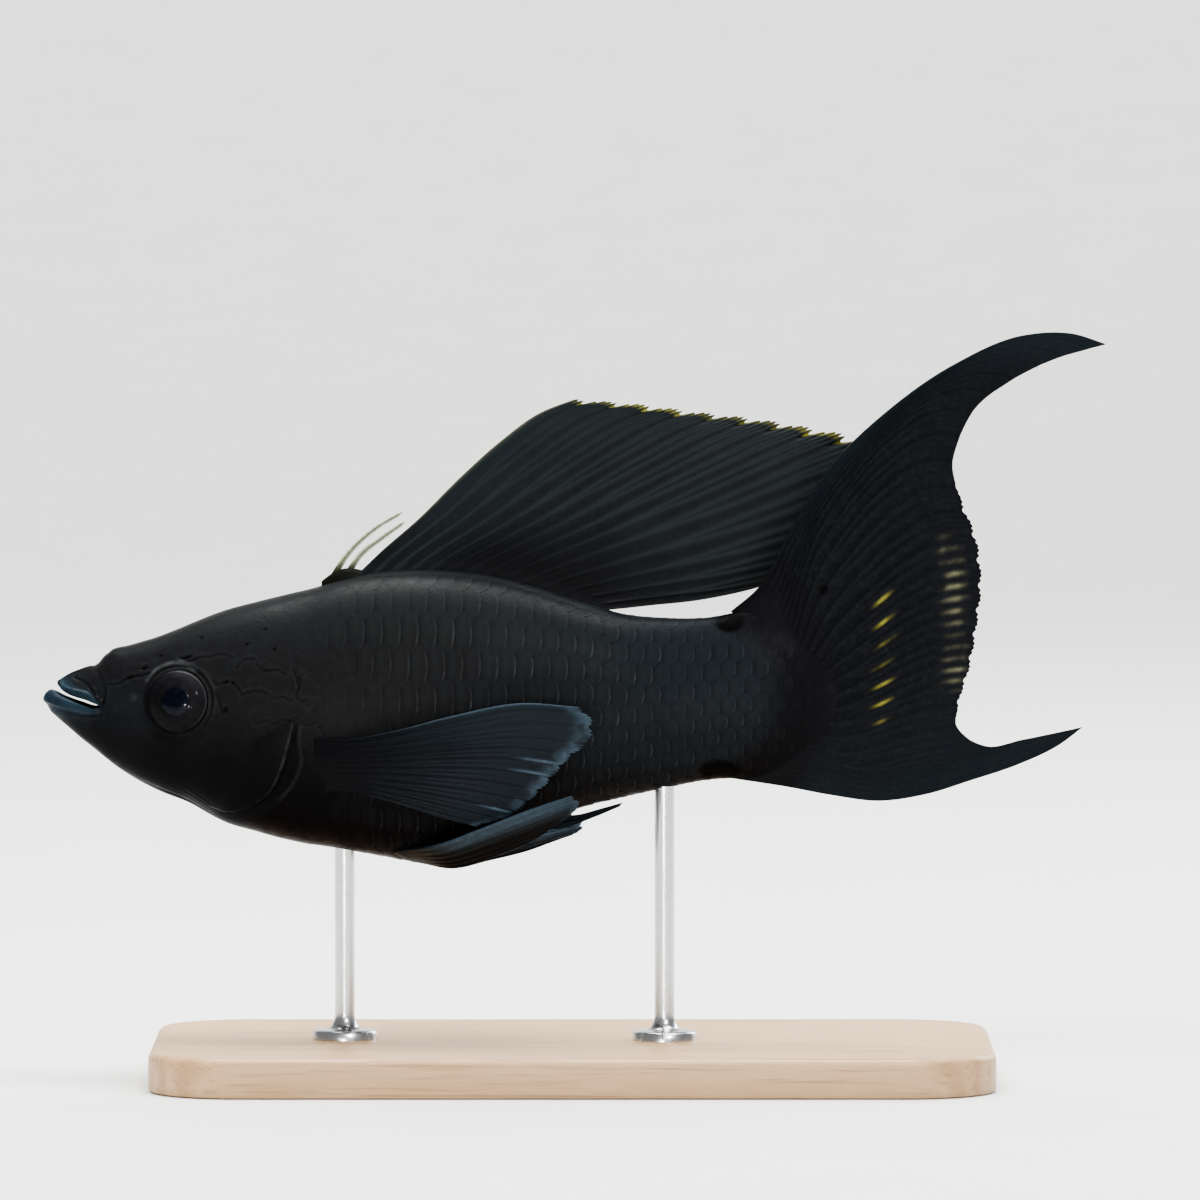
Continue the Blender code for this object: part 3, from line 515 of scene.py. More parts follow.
def skinMaterial():
    made, shader, wire = newMaterial("blackSkin", 0.45, 0.04)
    coords = bodyCoords(wire)
    where = coords[0]
    pale, blue, dark = marksOf(wire, "marks")
    fleck = noise(wire, where, 900.0, 2.0).ramp(0.35, 0.62)
    # pale marks are painted highlights and dark marks painted shade; blue is the lips' colour and a
    # painted bluish sheen
    colour = layered(fleshColour(wire, coords), (blue * (fleck * 0.45 + 0.55), "lip"),
                     (pale * (fleck * 0.5 + 0.5), "pale"), (dark, "deep"))
    fine = noise(wire, where, 2600.0, 2.0, 0.6)
    bumps = bump(wire, cells(wire, where, 950.0).ramp(0.0, 0.8), 0.00006, 0.16)
    wet = noise(wire, where, 420.0, 3.0).ramp(0.3, 0.75, 0.36, 0.54)
    dress(wire, shader, {"Base Color": addSpots(colour, coords), "Roughness": wet - blue * 0.12,
                         "Normal": bump(wire, fine, 0.00005, 0.6, bumps)})
    return made


def scaleMaterial():
    made, shader, wire = newMaterial("scaleHorn", 0.42, 0.05)
    coords = bodyCoords(wire)
    where = coords[0]
    toEdge, across, lot = marksOf(wire, "plateAt")
    bend = across * across
    fleck = noise(wire, where, 1300.0, 3.0, 0.65).ramp(0.30, 0.68)
    # painted highlight on each scale's rear edge, stronger on its lower half, painted shade just behind
    # the edge before it, and a painted highlight in its middle
    rim = toEdge.ramp(0.9, 0.99) * bend.ramp(0.0, 0.7, 1.0, 0.1)
    lowHalf = across.ramp(-0.9, 0.5, 1.0, 0.45)
    shade = toEdge.ramp(0.15, 0.75, 0.6, 0.0) * lot.ramp(0.02, 0.35)
    centreHighlight = (1.0 - bend) * toEdge.ramp(0.35, 0.62) * (1.0 - toEdge.ramp(0.66, 0.88))
    colour = layered(fleshColour(wire, coords), (shade, "deep"), (centreHighlight * lot * 0.35, "ash"),
                     (rim * lowHalf * (fleck * 0.7 + 0.3) * lot * 0.85, "pale"))
    rings = (toEdge * 95.0 + bend * 9.0).math("SINE")
    fine = noise(wire, where, 2600.0, 2.0, 0.6)
    ridges = bump(wire, rings, 0.00001, 0.1)
    dress(wire, shader, {"Base Color": addSpots(colour, coords), "Roughness": fleck * -0.10 + 0.48,
                         "Normal": bump(wire, fine, 0.00005, 0.5, ridges)})
    return made


def finMaterial(name, base, gloss=0.42, pales="window", roots="stem", lastRay=None):
    made, shader, wire = newMaterial(name, gloss, 0.05)
    where = objectCoords(wire)
    ray = wire.node("ShaderNodeAttribute", {"attribute_name": "ray"}, out="Fac")
    yellow, pale, dark = marksOf(wire, "marks")
    across, along = marksOf(wire, "finAt")[:2]
    blotch = noise(wire, where, 260.0, 4.0, 0.6)
    speck = noise(wire, where, 1700.0, 3.0, 0.7).ramp(0.45, 0.72)
    lit = ray * (0.85 - along * 0.35) + along * 0.3 + (blotch - 0.5) * 0.5
    # a painted sheen over the first rays
    front = across.ramp(0.0, 4.5, 0.5, 0.0) * along.ramp(0.1, 0.5)
    colour = layered(tones[base + "Deep"], (lit, base), (front, "sheen"))
    if lastRay:  # the lowest rays shine a little too
        colour = layered(colour, (across.ramp(lastRay - 11, lastRay, 0.0, 0.4), "sheen"))
    colour = layered(colour, (speck * 0.25, "ash"), (pale * (speck * 0.35 + 0.65), pales),
                     (yellow * (1.0 - ray * 0.85) * (speck * 0.3 + 0.7), "yellow"),
                     (dark, roots), (dark.ramp(0.9, 1.0), "spot"))
    joints = ((along * 230.0).math("SINE") * 0.5 + 0.5) * ray
    fibres = (across * 90.0).math("SINE") * (1.0 - ray)
    lines = bump(wire, joints + fibres * 0.15, 0.00002, 0.4)
    fine = noise(wire, where, 2200.0, 3.0, 0.6)
    dress(wire, shader, {"Base Color": colour, "Roughness": speck * -0.08 + gloss + 0.04,
                         "Normal": bump(wire, fine, 0.00004, 0.5, lines)})
    return made


# The skin: one closed surface from inside the mouth, over the lips, to the tail's root

skin = {
    "around": 440,
    "jawRings": 27,
    "lipRings": 13,
    "throatRings": 8,
    "headRing": 6.9,
    # up to an s, the space between rings
    "ringSteps": ((9.4, 0.2), (18.3, 0.155), (28.9, 0.17), (66.0, 1.3)),
    "tailRings": 12,
    "inset": 0.13,  # how deep the skin lies under the scales
}

mouth = {
    # edges of the lips from the corner to the tip: s, half width, h
    "upperEdge": ((6.2, 2.75, -0.60), (5.4, 2.55, -0.28), (4.4, 2.28, 0.10), (3.4, 1.88, 0.38),
                  (2.6, 1.35, 0.66), (2.05, 0.75, 1.02), (1.75, 0.3, 1.38), (1.68, 0.0, 1.48)),
    "lowerEdge": ((6.2, 2.75, -0.60), (5.2, 2.52, -0.70), (4.0, 2.32, -0.32), (2.9, 2.04, 0.08),
                  (2.0, 1.62, 0.48), (1.35, 1.05, 0.86), (1.0, 0.5, 1.03), (0.88, 0.0, 1.08)),
    # the middle of each jaw from the lip to the head: s, h
    "upperProfile": np.array([(1.55, 2.0), (1.9, 2.2), (2.7, 2.68), (3.7, 3.08), (4.7, 3.42),
                              (5.3, 3.5), (5.6, 3.72), (6.1, 4.35), (6.9, 4.95)]),
    "lowerProfile": np.array([(0.3, -0.5), (0.6, -0.92), (1.4, -1.7), (2.5, -2.65), (3.7, -3.7),
                              (4.9, -4.65), (5.95, -5.5), (6.9, -6.25)]),
    # at the corner and at the tip: half height, half thickness, and how far the lip leans out
    "lipHigh": {"upper": (0.44, 0.30), "lower": (0.36, 0.64)},
    "lipOut": {"upper": (0.26, 0.30), "lower": (0.30, 0.46)},
    "lipLean": {"upper": (0.0, -0.12), "lower": (0.0, 0.60)},
    "lipTurn": (78, -200),  # the lip's section, in degrees from its outer edge up
    "middle": (4.5, 0.0),  # s and y of a point between the corners
    "throat": (8.2, 1.2, -0.75, 0.5),  # s, half width, h, half height
    "tongueSag": 0.35,
    "stiff": (0.9, 0.7),  # how stiffly a jaw leaves the head's ring and meets the lip
    "meets": (0.8, 0.55),  # its direction there: out of the mouth, and back from the lip
}


def lipEdge(which, shares):
    # the edge from the left corner to the right one, with the direction out of the mouth
    half = mouth[which + "Edge"]
    line = curveThrough([(s, -y, h) for s, y, h in half] + list(reversed(half[:-1])))
    at, step = line(shares), 0.004
    ahead = line(np.clip(shares + step, 0, 1)) - line(np.clip(shares - step, 0, 1))
    out = unit(stacked(-ahead[:, 1], ahead[:, 0], np.zeros(len(shares))))
    away = at[:, :2] - np.array(mouth["middle"])
    sign = np.sign((away * out[:, :2]).sum(axis=1))
    return place(*at[:, [0, 2, 1]].T), out * sign[:, None]


def easeBetween(t, start, leave, end, arrive):
    point = ((1 + 2 * t) * (1 - t) ** 2) * start + (t * (1 - t) ** 2) * leave
    return point + (t * t * (3 - 2 * t)) * end + (t * t * (t - 1)) * arrive


def jawHalf(which, ring, forward, shares):
    # rings of one jaw, from the head's ring to the lip and on into the mouth
    up = np.array((0.0, 0.0, 1.0 if which == "upper" else -1.0))
    edge, out = lipEdge(which, shares)
    toCorner = np.minimum(shares, 1 - shares)
    opening = ramp(toCorner, 0.0, 0.17)[:, None]
    toTip = ramp(toCorner, 0.1, 0.5)[:, None]

    def lipSize(kind):
        corner, tip = mouth[kind][which]
        return corner * (1 - toTip) + tip * toTip

    high, thick, lean = opening * lipSize("lipHigh"), lipSize("lipOut"), lipSize("lipLean")

    def roll(turn):
        rise = 1 + math.sin(turn)
        return edge + out * (thick * math.cos(turn) + lean * rise / 2) + up * high * rise

    start, finish = (math.radians(turn) for turn in mouth["lipTurn"])
    last = skin["lipRings"] - 1
    lip = [roll(start + (finish - start) * k / last) for k in range(last + 1)]
    gap = np.linalg.norm(lip[0] - ring, axis=1)[:, None]
    leave, meet = mouth["stiff"]
    outward, back = mouth["meets"]
    leave, arrive = unit(forward) * gap * leave, unit(out * outward - up * back) * gap * meet
    profile = mouth[which + "Profile"]
    spread = (np.sin(shares * math.pi) ** 2)[:, None]
    outer = []
    for k in range(skin["jawRings"]):
        t = k / skin["jawRings"]
        point = easeBetween(t, ring, leave, lip[0], arrive)
        crest = point[len(shares) // 2]
        wanted = cubic(profile, 1, max(crest[0] - lipX, profile[0, 0])) + axisZ
        hold = ramp(1 - t, 0.0, 0.12) * ramp(t, 0.0, 0.05)
        point[:, 2:] += spread * (wanted - crest[2]) * hold
        outer.append(point)
    s, half, h, tall = mouth["throat"]
    turn = shares * math.pi
    throat = place(s, h + up[2] * tall * np.sin(turn), -half * np.cos(turn))
    inner = []
    for k in range(1, skin["throatRings"]):
        t = k / (skin["throatRings"] - 1)
        sag = up * mouth["tongueSag"] * math.sin(math.pi * t) * np.sin(turn)[:, None]
        inner.append(lip[-1] * (1 - t) + throat * t + sag)
    return outer, lip, inner


def bodyRings():
    # the head and body, each ring with its angles
    places = [skin["headRing"]]
    for end, step in skin["ringSteps"]:
        count = round((end - places[-1]) / step)
        places += list(np.linspace(places[-1], end, count + 1)[1:])
    places.pop()
    rings = []
    for s in places:
        angles = evenAngles(s, skin["around"])
        rings.append(stacked(np.full(skin["around"], s), angles))
    last = evenAngles(body["stemStraight"], skin["around"])
    for k in range(skin["tailRings"]):
        share = k / (skin["tailRings"] - 1)
        s = between((body["stemStraight"], fanLine(last) + body["thinAfter"]), share)
        rings.append(stacked(s, last))
    return rings


def skinGrid():
    rings = bodyRings()
    count, half = skin["around"], skin["around"] // 2
    first, second = (bodyPoint(*rings[k].T) for k in (0, 1))
    forward = first - second
    over = np.arange(half + 1)
    under = (count - over) % count
    upper = jawHalf("upper", first[over], forward[over], over / half)
    lower = jawHalf("lower", first[under], forward[under], over / half)

    def joined(top, foot):
        ring = np.empty((count, 3))
        ring[under] = foot
        ring[over] = top
        for corner in (0, half):
            ring[corner] = (top[corner] + foot[corner]) / 2
        return ring

    jaws, lips, throat = ([joined(a, b) for a, b in zip(top, foot)]
                          for top, foot in zip(upper, lower))
    front = throat[::-1] + lips[::-1] + jaws[::-1]
    grid = np.array(front + [fleshPoint(*ring.T) for ring in rings[1:]])
    zone = {"lips": (len(throat), len(throat) + len(lips)), "jawEnd": len(front)}
    return grid, zone, rings


def gridNormals(grid):
    down = np.empty_like(grid)
    down[1:-1] = grid[2:] - grid[:-2]
    down[0], down[-1] = grid[1] - grid[0], grid[-1] - grid[-2]
    around = np.roll(grid, -1, axis=1) - np.roll(grid, 1, axis=1)
    return unit(np.cross(around, down))


def lineDistance(points, line, samples=14):
    # distance from points of the side view to a smooth line there
    bends = curveThrough(line)(np.linspace(0, 1, samples))
    best = np.full(len(points), 1e9)
    for a, b in zip(bends[:-1], bends[1:]):
        t = np.clip(((points - a) @ (b - a)) / max((b - a) @ (b - a), 1e-12), 0, 1)
        best = np.minimum(best, np.linalg.norm(points - (a + t[:, None] * (b - a)), axis=1))
    return best


headMarks = {
    "end": 38,  # no relief behind this s
    # lines of the side view, as s and h; the last two numbers are a groove's depth and width; each
    # groove is painted dark as shade, with a faint painted highlight on its banks
    "grooves": (
        (((20.0, 0.9), (21.2, 1.3), (22.5, 1.15), (23.4, 0.6), (24.0, 0.75), (25.0, 0.35)), 0.13, 0.12),
        (((21.0, -0.9), (21.6, -1.9), (22.6, -1.6), (23.4, -2.0), (24.1, -1.5), (25.2, -1.75)),
         0.11, 0.12),
        (((18.2, 2.1), (19.0, 2.2), (19.7, 1.5), (20.2, 0.9)), 0.11, 0.12),
        (((13.9, 4.5), (14.8, 4.1), (15.7, 4.5), (16.9, 4.6), (18.3, 4.9), (19.2, 4.5)), 0.11, 0.12),
        (((17.1, 2.4), (17.6, 1.9), (18.2, 2.1)), 0.10, 0.12),
        (((16.9, 1.7), (17.5, 0.9), (17.9, 0.2), (18.2, -1.0)), 0.09, 0.12),
        (((25.2, 3.4), (25.6, 2.6), (25.8, 1.7), (25.5, 0.9), (26.1, 0.3), (26.7, 0.5)), 0.12, 0.12),
        (((25.6, 2.7), (26.3, 3.0)), 0.09, 0.12),
        (((26.0, -1.7), (26.7, -2.1), (27.5, -1.8), (28.3, -1.9)), 0.10, 0.12),
        (((27.9, -2.2), (28.3, -2.7), (28.4, -3.3)), 0.08, 0.12),
        (((26.6, -0.3), (27.3, 0.2), (28.0, 0.7)), 0.07, 0.12),
        (((21.6, 3.9), (22.4, 3.3), (23.6, 3.4), (24.5, 2.9)), 0.05, 0.12),
        (((19.6, 3.6), (20.2, 4.3), (21.4, 4.5)), 0.05, 0.12),
        (((3.3, 2.3), (4.4, 1.75), (5.1, 1.0), (5.5, 0.1)), 0.16, 0.13),
        (((6.0, 1.8), (7.0, 1.75), (8.0, 2.0), (8.6, 2.4)), 0.11, 0.11),
        (((9.3, 2.6), (10.1, 2.7), (10.9, 2.9)), 0.07, 0.12),
        (((5.7, 3.0), (6.2, 2.0), (6.4, 1.1), (6.3, 0.3)), 0.07, 0.14),
        (((1.6, -1.0), (3.2, -1.3), (4.6, -1.5), (6.0, -1.3)), 0.03, 0.14),
    ),
    # ridges have height, width and how pale the painted highlight on their crest is
    "ridges": (
        (((25.9, -2.2), (25.75, -4.0), (26.1, -5.2), (25.3, -7.8), (23.9, -9.6)), 0.16, 0.3, 0.16),
        (((27.4, -2.2), (28.2, -3.3), (28.9, -5.0), (29.0, -7.0), (28.6, -8.8)), 0.09, 0.4, 0.08),
        (((10.6, 2.2), (11.5, 3.2), (12.4, 3.68), (13.5, 3.9), (14.5, 3.72), (15.4, 3.2)),
         0.10, 0.24, 0.75),
    ),
    # pits, painted dark inside as shade: s, h, half length, half height, depth
    "pores": ((8.9, 2.5, 0.36, 0.19, 0.22), (10.3, 3.4, 0.32, 0.17, 0.22), (18.5, 2.15, 0.2, 0.2, 0.14),
              (19.2, 2.1, 0.16, 0.16, 0.12), (18.45, -0.6, 0.2, 0.3, 0.14), (25.8, 2.3, 0.16, 0.5, 0.16),
              (29.9, 6.2, 0.2, 0.16, 0.12), (32.7, 5.6, 0.22, 0.16, 0.12), (35.0, 5.1, 0.2, 0.16, 0.1),
              (22.4, 7.3, 0.18, 0.14, 0.08), (23.3, 5.4, 0.18, 0.14, 0.08), (26.9, 3.4, 0.2, 0.18, 0.12),
              (11.9, 4.6, 0.2, 0.1, 0.08), (14.6, 4.5, 0.5, 0.16, 0.12), (16.0, 6.4, 0.16, 0.12, 0.08),
              (20.6, 5.9, 0.16, 0.12, 0.08), (6.2, 0.0, 0.14, 0.2, 0.12)),
    # painted glints: s, h, radius, how pale
    "glints": ((5.55, 0.45, 0.16, 0.5), (5.95, 0.15, 0.13, 0.5), (5.3, 1.3, 0.22, 0.3),
               (9.3, 0.5, 0.35, 0.3), (5.6, -1.1, 0.3, 0.3)),
    "gillEdge": ((25.5, -0.9), (25.25, -2.3), (24.75, -4.4), (24.1, -6.6), (22.9, -8.9), (21.2, -10.2),
                 (18.7, -10.9), (16.4, -10.4)),
    "gillMiddle": (19.6, -4.6),
    "gillHigh": 0.34,
    "gillFurrow": 0.24,
    "folds": 4,  # fine folds of the throat on each side
    "foldStart": 1.9,  # how far out they begin, and the space between them
    "foldSpace": 0.55,
    "throatFold": ((8.0, 1.5), (12.0, 2.1), (15.5, 1.8), (18.5, 0.9), (20.5, 0.1)),  # s, half width
}

eye = {
    "at": (13.7, 0.2),
    "radius": 3.3,
    "depth": 2.1,
    "sink": 1.1,
    "looks": (-0.24, 1.0, 0.12),
    "lens": 1.4,
    "lensRise": 0.12,
    "rim": 3.13,
    # ridges round it: how far outside the rim, width, height, and whether only the lit side has it
    "ridges": ((0.16, 0.16, 0.13, False), (0.72, 0.2, 0.10, True), (0.44, 0.1, -0.07, True),
               (1.17, 0.6, 0.05, False)),
    # their marks, on the lit side: painted highlights (pale) and painted shade in the groove (dark); how
    # far outside the rim, width, strength
    "marks": (("pale", 0.14, 0.12, 0.35), ("pale", 0.74, 0.16, 0.22), ("dark", 0.44, 0.09, 0.85)),
    "behind": 0.95,  # from the socket's floor to the ball's front
    "segments": 112,
    "reach": (5.2, -3.5),  # how far its rings reach outward from its axis, and inward
    "draw": (0.9, 0.2),  # how much of the way, and from how far, points are drawn to the rim
    "flatness": 2.9,
    "ringAt": 2.86,  # a low ring near the edge
    "furrowAt": 1.55,  # a shallow furrow round the lens
}


def eyeFrame(side):
    axis = unit(np.array((eye["looks"][0], side * eye["looks"][1], eye["looks"][2])))
    seat = place(*eye["at"], side * bodySide(*eye["at"]))
    return seat, axis


def mark(marks, kind, value, rows=slice(None)):
    column = ("pale", "blue", "dark").index(kind)
    marks[rows, column] = np.maximum(marks[rows, column], value)


def carveHead(grid, normals, zone):
    # relief of the head, with the marks its material reads: pale, blue and dark; pale marks are painted
    # highlights, dark ones painted shade
    flat = grid.reshape(-1, 3)
    s, h = flat[:, 0] - lipX, flat[:, 2] - axisZ
    lift, marks = np.zeros(len(flat)), np.zeros((len(flat), 3))
    near = np.flatnonzero(s < headMarks["end"])
    view = stacked(s, h)[near]
    uneven = 0.45 + 0.55 * speckled(flat[near], 1.6, -0.7, 0.5, 2)
    for line, depth, width in headMarks["grooves"]:
        away = lineDistance(view, line)
        banks = 0.13 * hump(away - 2.6 * width, width * 1.5)
        lift[near] += depth * uneven * (banks - 0.65 * hump(away, width))
        # painted shade in the groove and a faint painted highlight on its banks
        mark(marks, "dark", 0.7 * uneven * hump(away, width * 0.9), near)
        mark(marks, "pale", 0.08 * hump(away - 2.2 * width, width), near)
    for line, height, width, pale in headMarks["ridges"]:
        away = lineDistance(view, line)
        lift[near] += height * hump(away, width)
        # painted highlight along the ridge's crest
        mark(marks, "pale", pale * hump(away, width * 0.7), near)
    for ps, ph, long, high, depth in headMarks["pores"]:
        away = np.hypot((s - ps) / long, (h - ph - 0.3 * (s - ps)) / high)
        lift += depth * (0.25 * hump(away - 1.9, 0.6) - ramp(1 - away, -0.4, 0.7))
        # painted shade inside the pit
        mark(marks, "dark", ramp(1 - away, -0.3, 0.3))
    for ps, ph, radius, pale in headMarks["glints"]:
        away = np.hypot(s - ps, h - ph)
        lift += 0.05 * hump(away, radius)
        # painted glint
        mark(marks, "pale", pale * hump(away, radius))
    lift[near] += gillLift(view, marks, near)
    lift += bellyRelief(flat, s, h)
    flat[:] += normals.reshape(-1, 3) * lift[:, None]
    for side in sides.values():
        orbit(flat, s, h, side, marks)
    # the lips are blue, less and less so over the jaws, and the mouth is painted dark inside as shade
    blue, inside = np.zeros((2, *grid.shape[:2]))
    first, last = zone["lips"]
    blue[first:last] = 1.0
    blue[last:zone["jawEnd"]] = np.linspace(1.0, 0.0, zone["jawEnd"] - last)[:, None] ** 7
    inside[:first] = 1.0
    mark(marks, "blue", blue.ravel() * (1 - ramp(s, 5.0, 7.5)))
    # a painted bluish sheen between the mouth's corner and the eye
    mark(marks, "blue", 0.16 * hump(np.hypot(s - 8.2, (h + 0.6) * 1.3), 2.6))
    # painted shade inside the mouth
    mark(marks, "dark", inside.ravel())
    return marks


def gillLift(view, marks, near):
    # the gill cover stands off behind, and a furrow runs under its free edge; along the edge lies a
    # painted highlight, in the furrow painted shade
    middle = np.array(headMarks["gillMiddle"])
    line = curveThrough(headMarks["gillEdge"])(np.linspace(0, 1, 60)) - middle
    offset = view - middle
    angle, lineAngle = (np.arctan2(at[:, 1], at[:, 0]) for at in (offset, line))
    order = np.argsort(lineAngle)
    edge = np.interp(angle, lineAngle[order], np.linalg.norm(line, axis=1)[order])
    inside = edge - np.linalg.norm(offset, axis=1)  # positive on the cover
    low, high = lineAngle.min(), lineAngle.max()
    free = window(angle, (low - 0.02, low + 0.4), (high - 0.25, high))
    cover = window(inside, (0.0, 0.16), (0.6, 4.5)) * headMarks["gillHigh"]
    furrow = window(-inside, (-0.04, 0.12), (0.25, 1.5)) * -headMarks["gillFurrow"]
    # painted highlight along the free edge, painted shade in the furrow under it
    pale = hump(inside - 0.13, 0.12) * ramp(view[:, 1], -12.5, -5.5)
    mark(marks, "pale", 0.65 * free * pale, near)
    mark(marks, "dark", 0.65 * free * hump(inside + 0.25, 0.2), near)
    return (cover + furrow) * free


def bellyRelief(flat, s, h):
    # folds of the gill skin below the throat, and the low ridge that carries the dorsal fin
    across = np.abs(flat[:, 1] - sway(s))
    below = ramp(-h, 7.5, 9.5)
    fold = lineDistance(stacked(s, across), headMarks["throatFold"])
    relief = -0.12 * hump(fold, 0.22) * below * (s < 24)
    start, space = headMarks["foldStart"], headMarks["foldSpace"]
    for k in range(1, headMarks["folds"] + 1):
        rib = (start + space * k) * (1 - ((s - 13) / 16) ** 2)
        relief -= 0.025 * below * (s < 22) * (s > 9) * hump(across - rib, 0.16)
    back = (h > 0) * window(s, (30.5, 32.5), (55.0, 58.0))
    return relief + back * 0.22 * (1 - ramp(across, 0.7, 1.7))


def orbit(flat, s, h, side, marks):
    # the socket drops behind the eye, inside a thin double ring
    seat, axis = eyeFrame(side)
    offset = flat - seat
    deep = offset @ axis
    outward = offset - deep[:, None] * axis
    around = np.linalg.norm(outward, axis=1)
    wide, low = eye["reach"]
    rows = np.flatnonzero((around < wide) & (deep > low) & (flat[:, 1] * side > 0))
    # the nearest points are drawn onto the rim, so that it is a clean ring
    r, (share, near) = around[rows], eye["draw"]
    drawn = share * (eye["rim"] - r) * ramp(near - np.abs(r - eye["rim"]), 0.0, 0.1)
    flat[rows] += outward[rows] / r[:, None] * drawn[:, None]
    r = r + drawn
    past, s, h = r - eye["rim"], s[rows] - eye["at"][0], h[rows] - eye["at"][1]
    lit = ramp(h * 0.8 + s * 0.45, -2.0, 2.4)
    rise = sum(high * (lit if upper else 1.0) * hump(past - far, width)
               for far, width, high, upper in eye["ridges"])
    inner = ramp(-past, 0.0, 0.14)
    bowl = np.sqrt(np.clip(1 - (r / (eye["radius"] + 0.4)) ** 2, 0, 1))
    floor = -eye["sink"] + eye["depth"] * bowl - eye["behind"]
    flat[rows] += (rise + inner * (floor - deep[rows]))[:, None] * axis
    # painted highlights and shade of the ring on its lit side
    for kind, far, width, strength in eye["marks"]:
        mark(marks, kind, strength * lit * hump(past - far, width), rows)
    # painted shadow of the rim on the eye's unlit front side
    mark(marks, "dark", 0.8 * (1 - lit) * (s < 0) * hump(past - 0.15, 0.3), rows)
    # painted shade down in the socket's gap, stronger on the lit side
    mark(marks, "dark", inner * (0.3 + 0.7 * lit), rows)


def makeSkin():
    grid, zone, rings = skinGrid()
    normals = gridNormals(grid)
    normals *= np.sign((normals * (grid - grid.mean(axis=1, keepdims=True))).sum())
    places, angles = np.moveaxis(np.array(rings[1:]), -1, 0)
    gill = gillLine(angles)
    under = skin["inset"] * ramp(places, gill - 1.0, gill + 2.0)
    under = under * (1 - ramp(places - fanLine(angles), *body["insetEnd"]))
    start = len(grid) - len(places)
    grid[start:] -= normals[start:] * under[..., None]
    marks = carveHead(grid, normals, zone)
    poles = grid[[0, -1]].mean(axis=1)
    made = pieceFrom("skin", np.concatenate([grid.reshape(-1, 3), poles]),
                     ballFaces(*grid.shape[:2]), skinMaterial())
    addMarks(made.data, "marks", np.concatenate([marks, [(0, 0, 1), (0, 0, 0)]]))
    handIn(made, "skin", "head", "torso", "tail_stem", "upper_jaw", "lower_jaw",
           "gill_cover_left", "gill_cover_right")
    print("skin made")


# What both node trees use

def startTree(name, sockets):
    # the tree, its inputs by name and their identifiers
    tree = bpy.data.node_groups.new(name, "GeometryNodeTree")
    made = {key: tree.interface.new_socket(key, in_out="INPUT", socket_type="NodeSocket" + kind)
            for key, kind in sockets.items()}
    tree.interface.new_socket("Geometry", in_out="OUTPUT", socket_type="NodeSocketGeometry")
    given = tree.nodes.new("NodeGroupInput")
    get = {socket.name: Wire(tree, socket) for socket in given.outputs if socket.name}
    return Wire(tree), get, {key: socket.identifier for key, socket in made.items()}


def endTree(wire, geometry, finish):
    loose = wire.node("GeometryNodeRealizeInstances", None, {"Geometry": geometry})
    done = wire.node("GeometryNodeSetMaterial", None, {"Geometry": loose, "Material": finish})
    plug(wire.tree, wire.tree.nodes.new("NodeGroupOutput").inputs[0], done)


def named(wire, name, kind="FLOAT_VECTOR"):
    return wire.node("GeometryNodeInputNamedAttribute", {"data_type": kind}, {"Name": name})


def stored(wire, geometry, name, value, domain="POINT"):
    return wire.node("GeometryNodeStoreNamedAttribute", {"data_type": "FLOAT", "domain": domain},
                     {"Geometry": geometry, "Name": name, "Value": value})


def added(wire, first, second):
    return wire.node("ShaderNodeVectorMath", {"operation": "ADD"}, {0: first, 1: second})


def scaled(wire, vector, amount):
    return wire.node("ShaderNodeVectorMath", {"operation": "SCALE"}, {0: vector, "Scale": amount})


def runTree(made, tree, identifiers, values):
    # lays the values into the tree's inputs and keeps the mesh that comes out
    step = made.modifiers.new(tree.name, "NODES")
    step.node_group = tree
    for name, value in values.items():
        step[identifiers[name]] = value
    bpy.context.view_layer.update()
    graph = bpy.context.evaluated_depsgraph_get()
    mesh = bpy.data.meshes.new_from_object(made.evaluated_get(graph))
    made.modifiers.clear()
    made.data = mesh
    return mesh


# Scales: thin plates laid out flat, then carried onto the body by Geometry Nodes

scales = {
    "rows": 22,
    "columns": 72,
    "first": 19.5,  # s of the first column, on the nape
    "pitch": 1.86,
    "pitchLoss": 0.008,
    "long": 3.5,
    "wide": 1.24,  # of the space between rows
    "thick": 0.05,
    "sink": -0.14,
    "lift": 0.2,
    "dome": 0.03,
    "settle": 0.03,  # how far a faded scale sinks
    "tilt": 0.03,
    "seed": 7,
    "flat": 0.01,  # flat layout: s in hundredths
    "patch": 0.003,
    "bed": (13.0, 84.1, 0.5),
    "bedShares": (-0.1, 1.1, 193),  # a little past the belly's middle on both sides
    "bedSteps": 128,
    "under": 0.1,  # how deep the bed lies under the body's surface
    "afterGill": 2.3,
    "backStart": 27.5,  # first s above the gill cover, and how far forward it goes on the back
    "backReach": 9.0,
    "pectoralEnd": 30.5,
    "shownFrom": 26.5,
    "shownOver": 12.5,
    "leastShown": 0.08,
    "pastFan": 1.8,
    "lastRing": 76.0,
}


def bedAngles(s, shares):
    # angle at a share of the way round the body, from the belly over the left side
    steps = scales["bedSteps"]
    even = evenAngles(s, steps)
    even = np.concatenate([even, even[:1] + 2 * math.pi])
    at = (np.asarray(shares) - 0.25) * steps
    turns = np.floor(at / steps)
    return np.interp(at - turns * steps, np.arange(steps + 1), even) + turns * 2 * math.pi


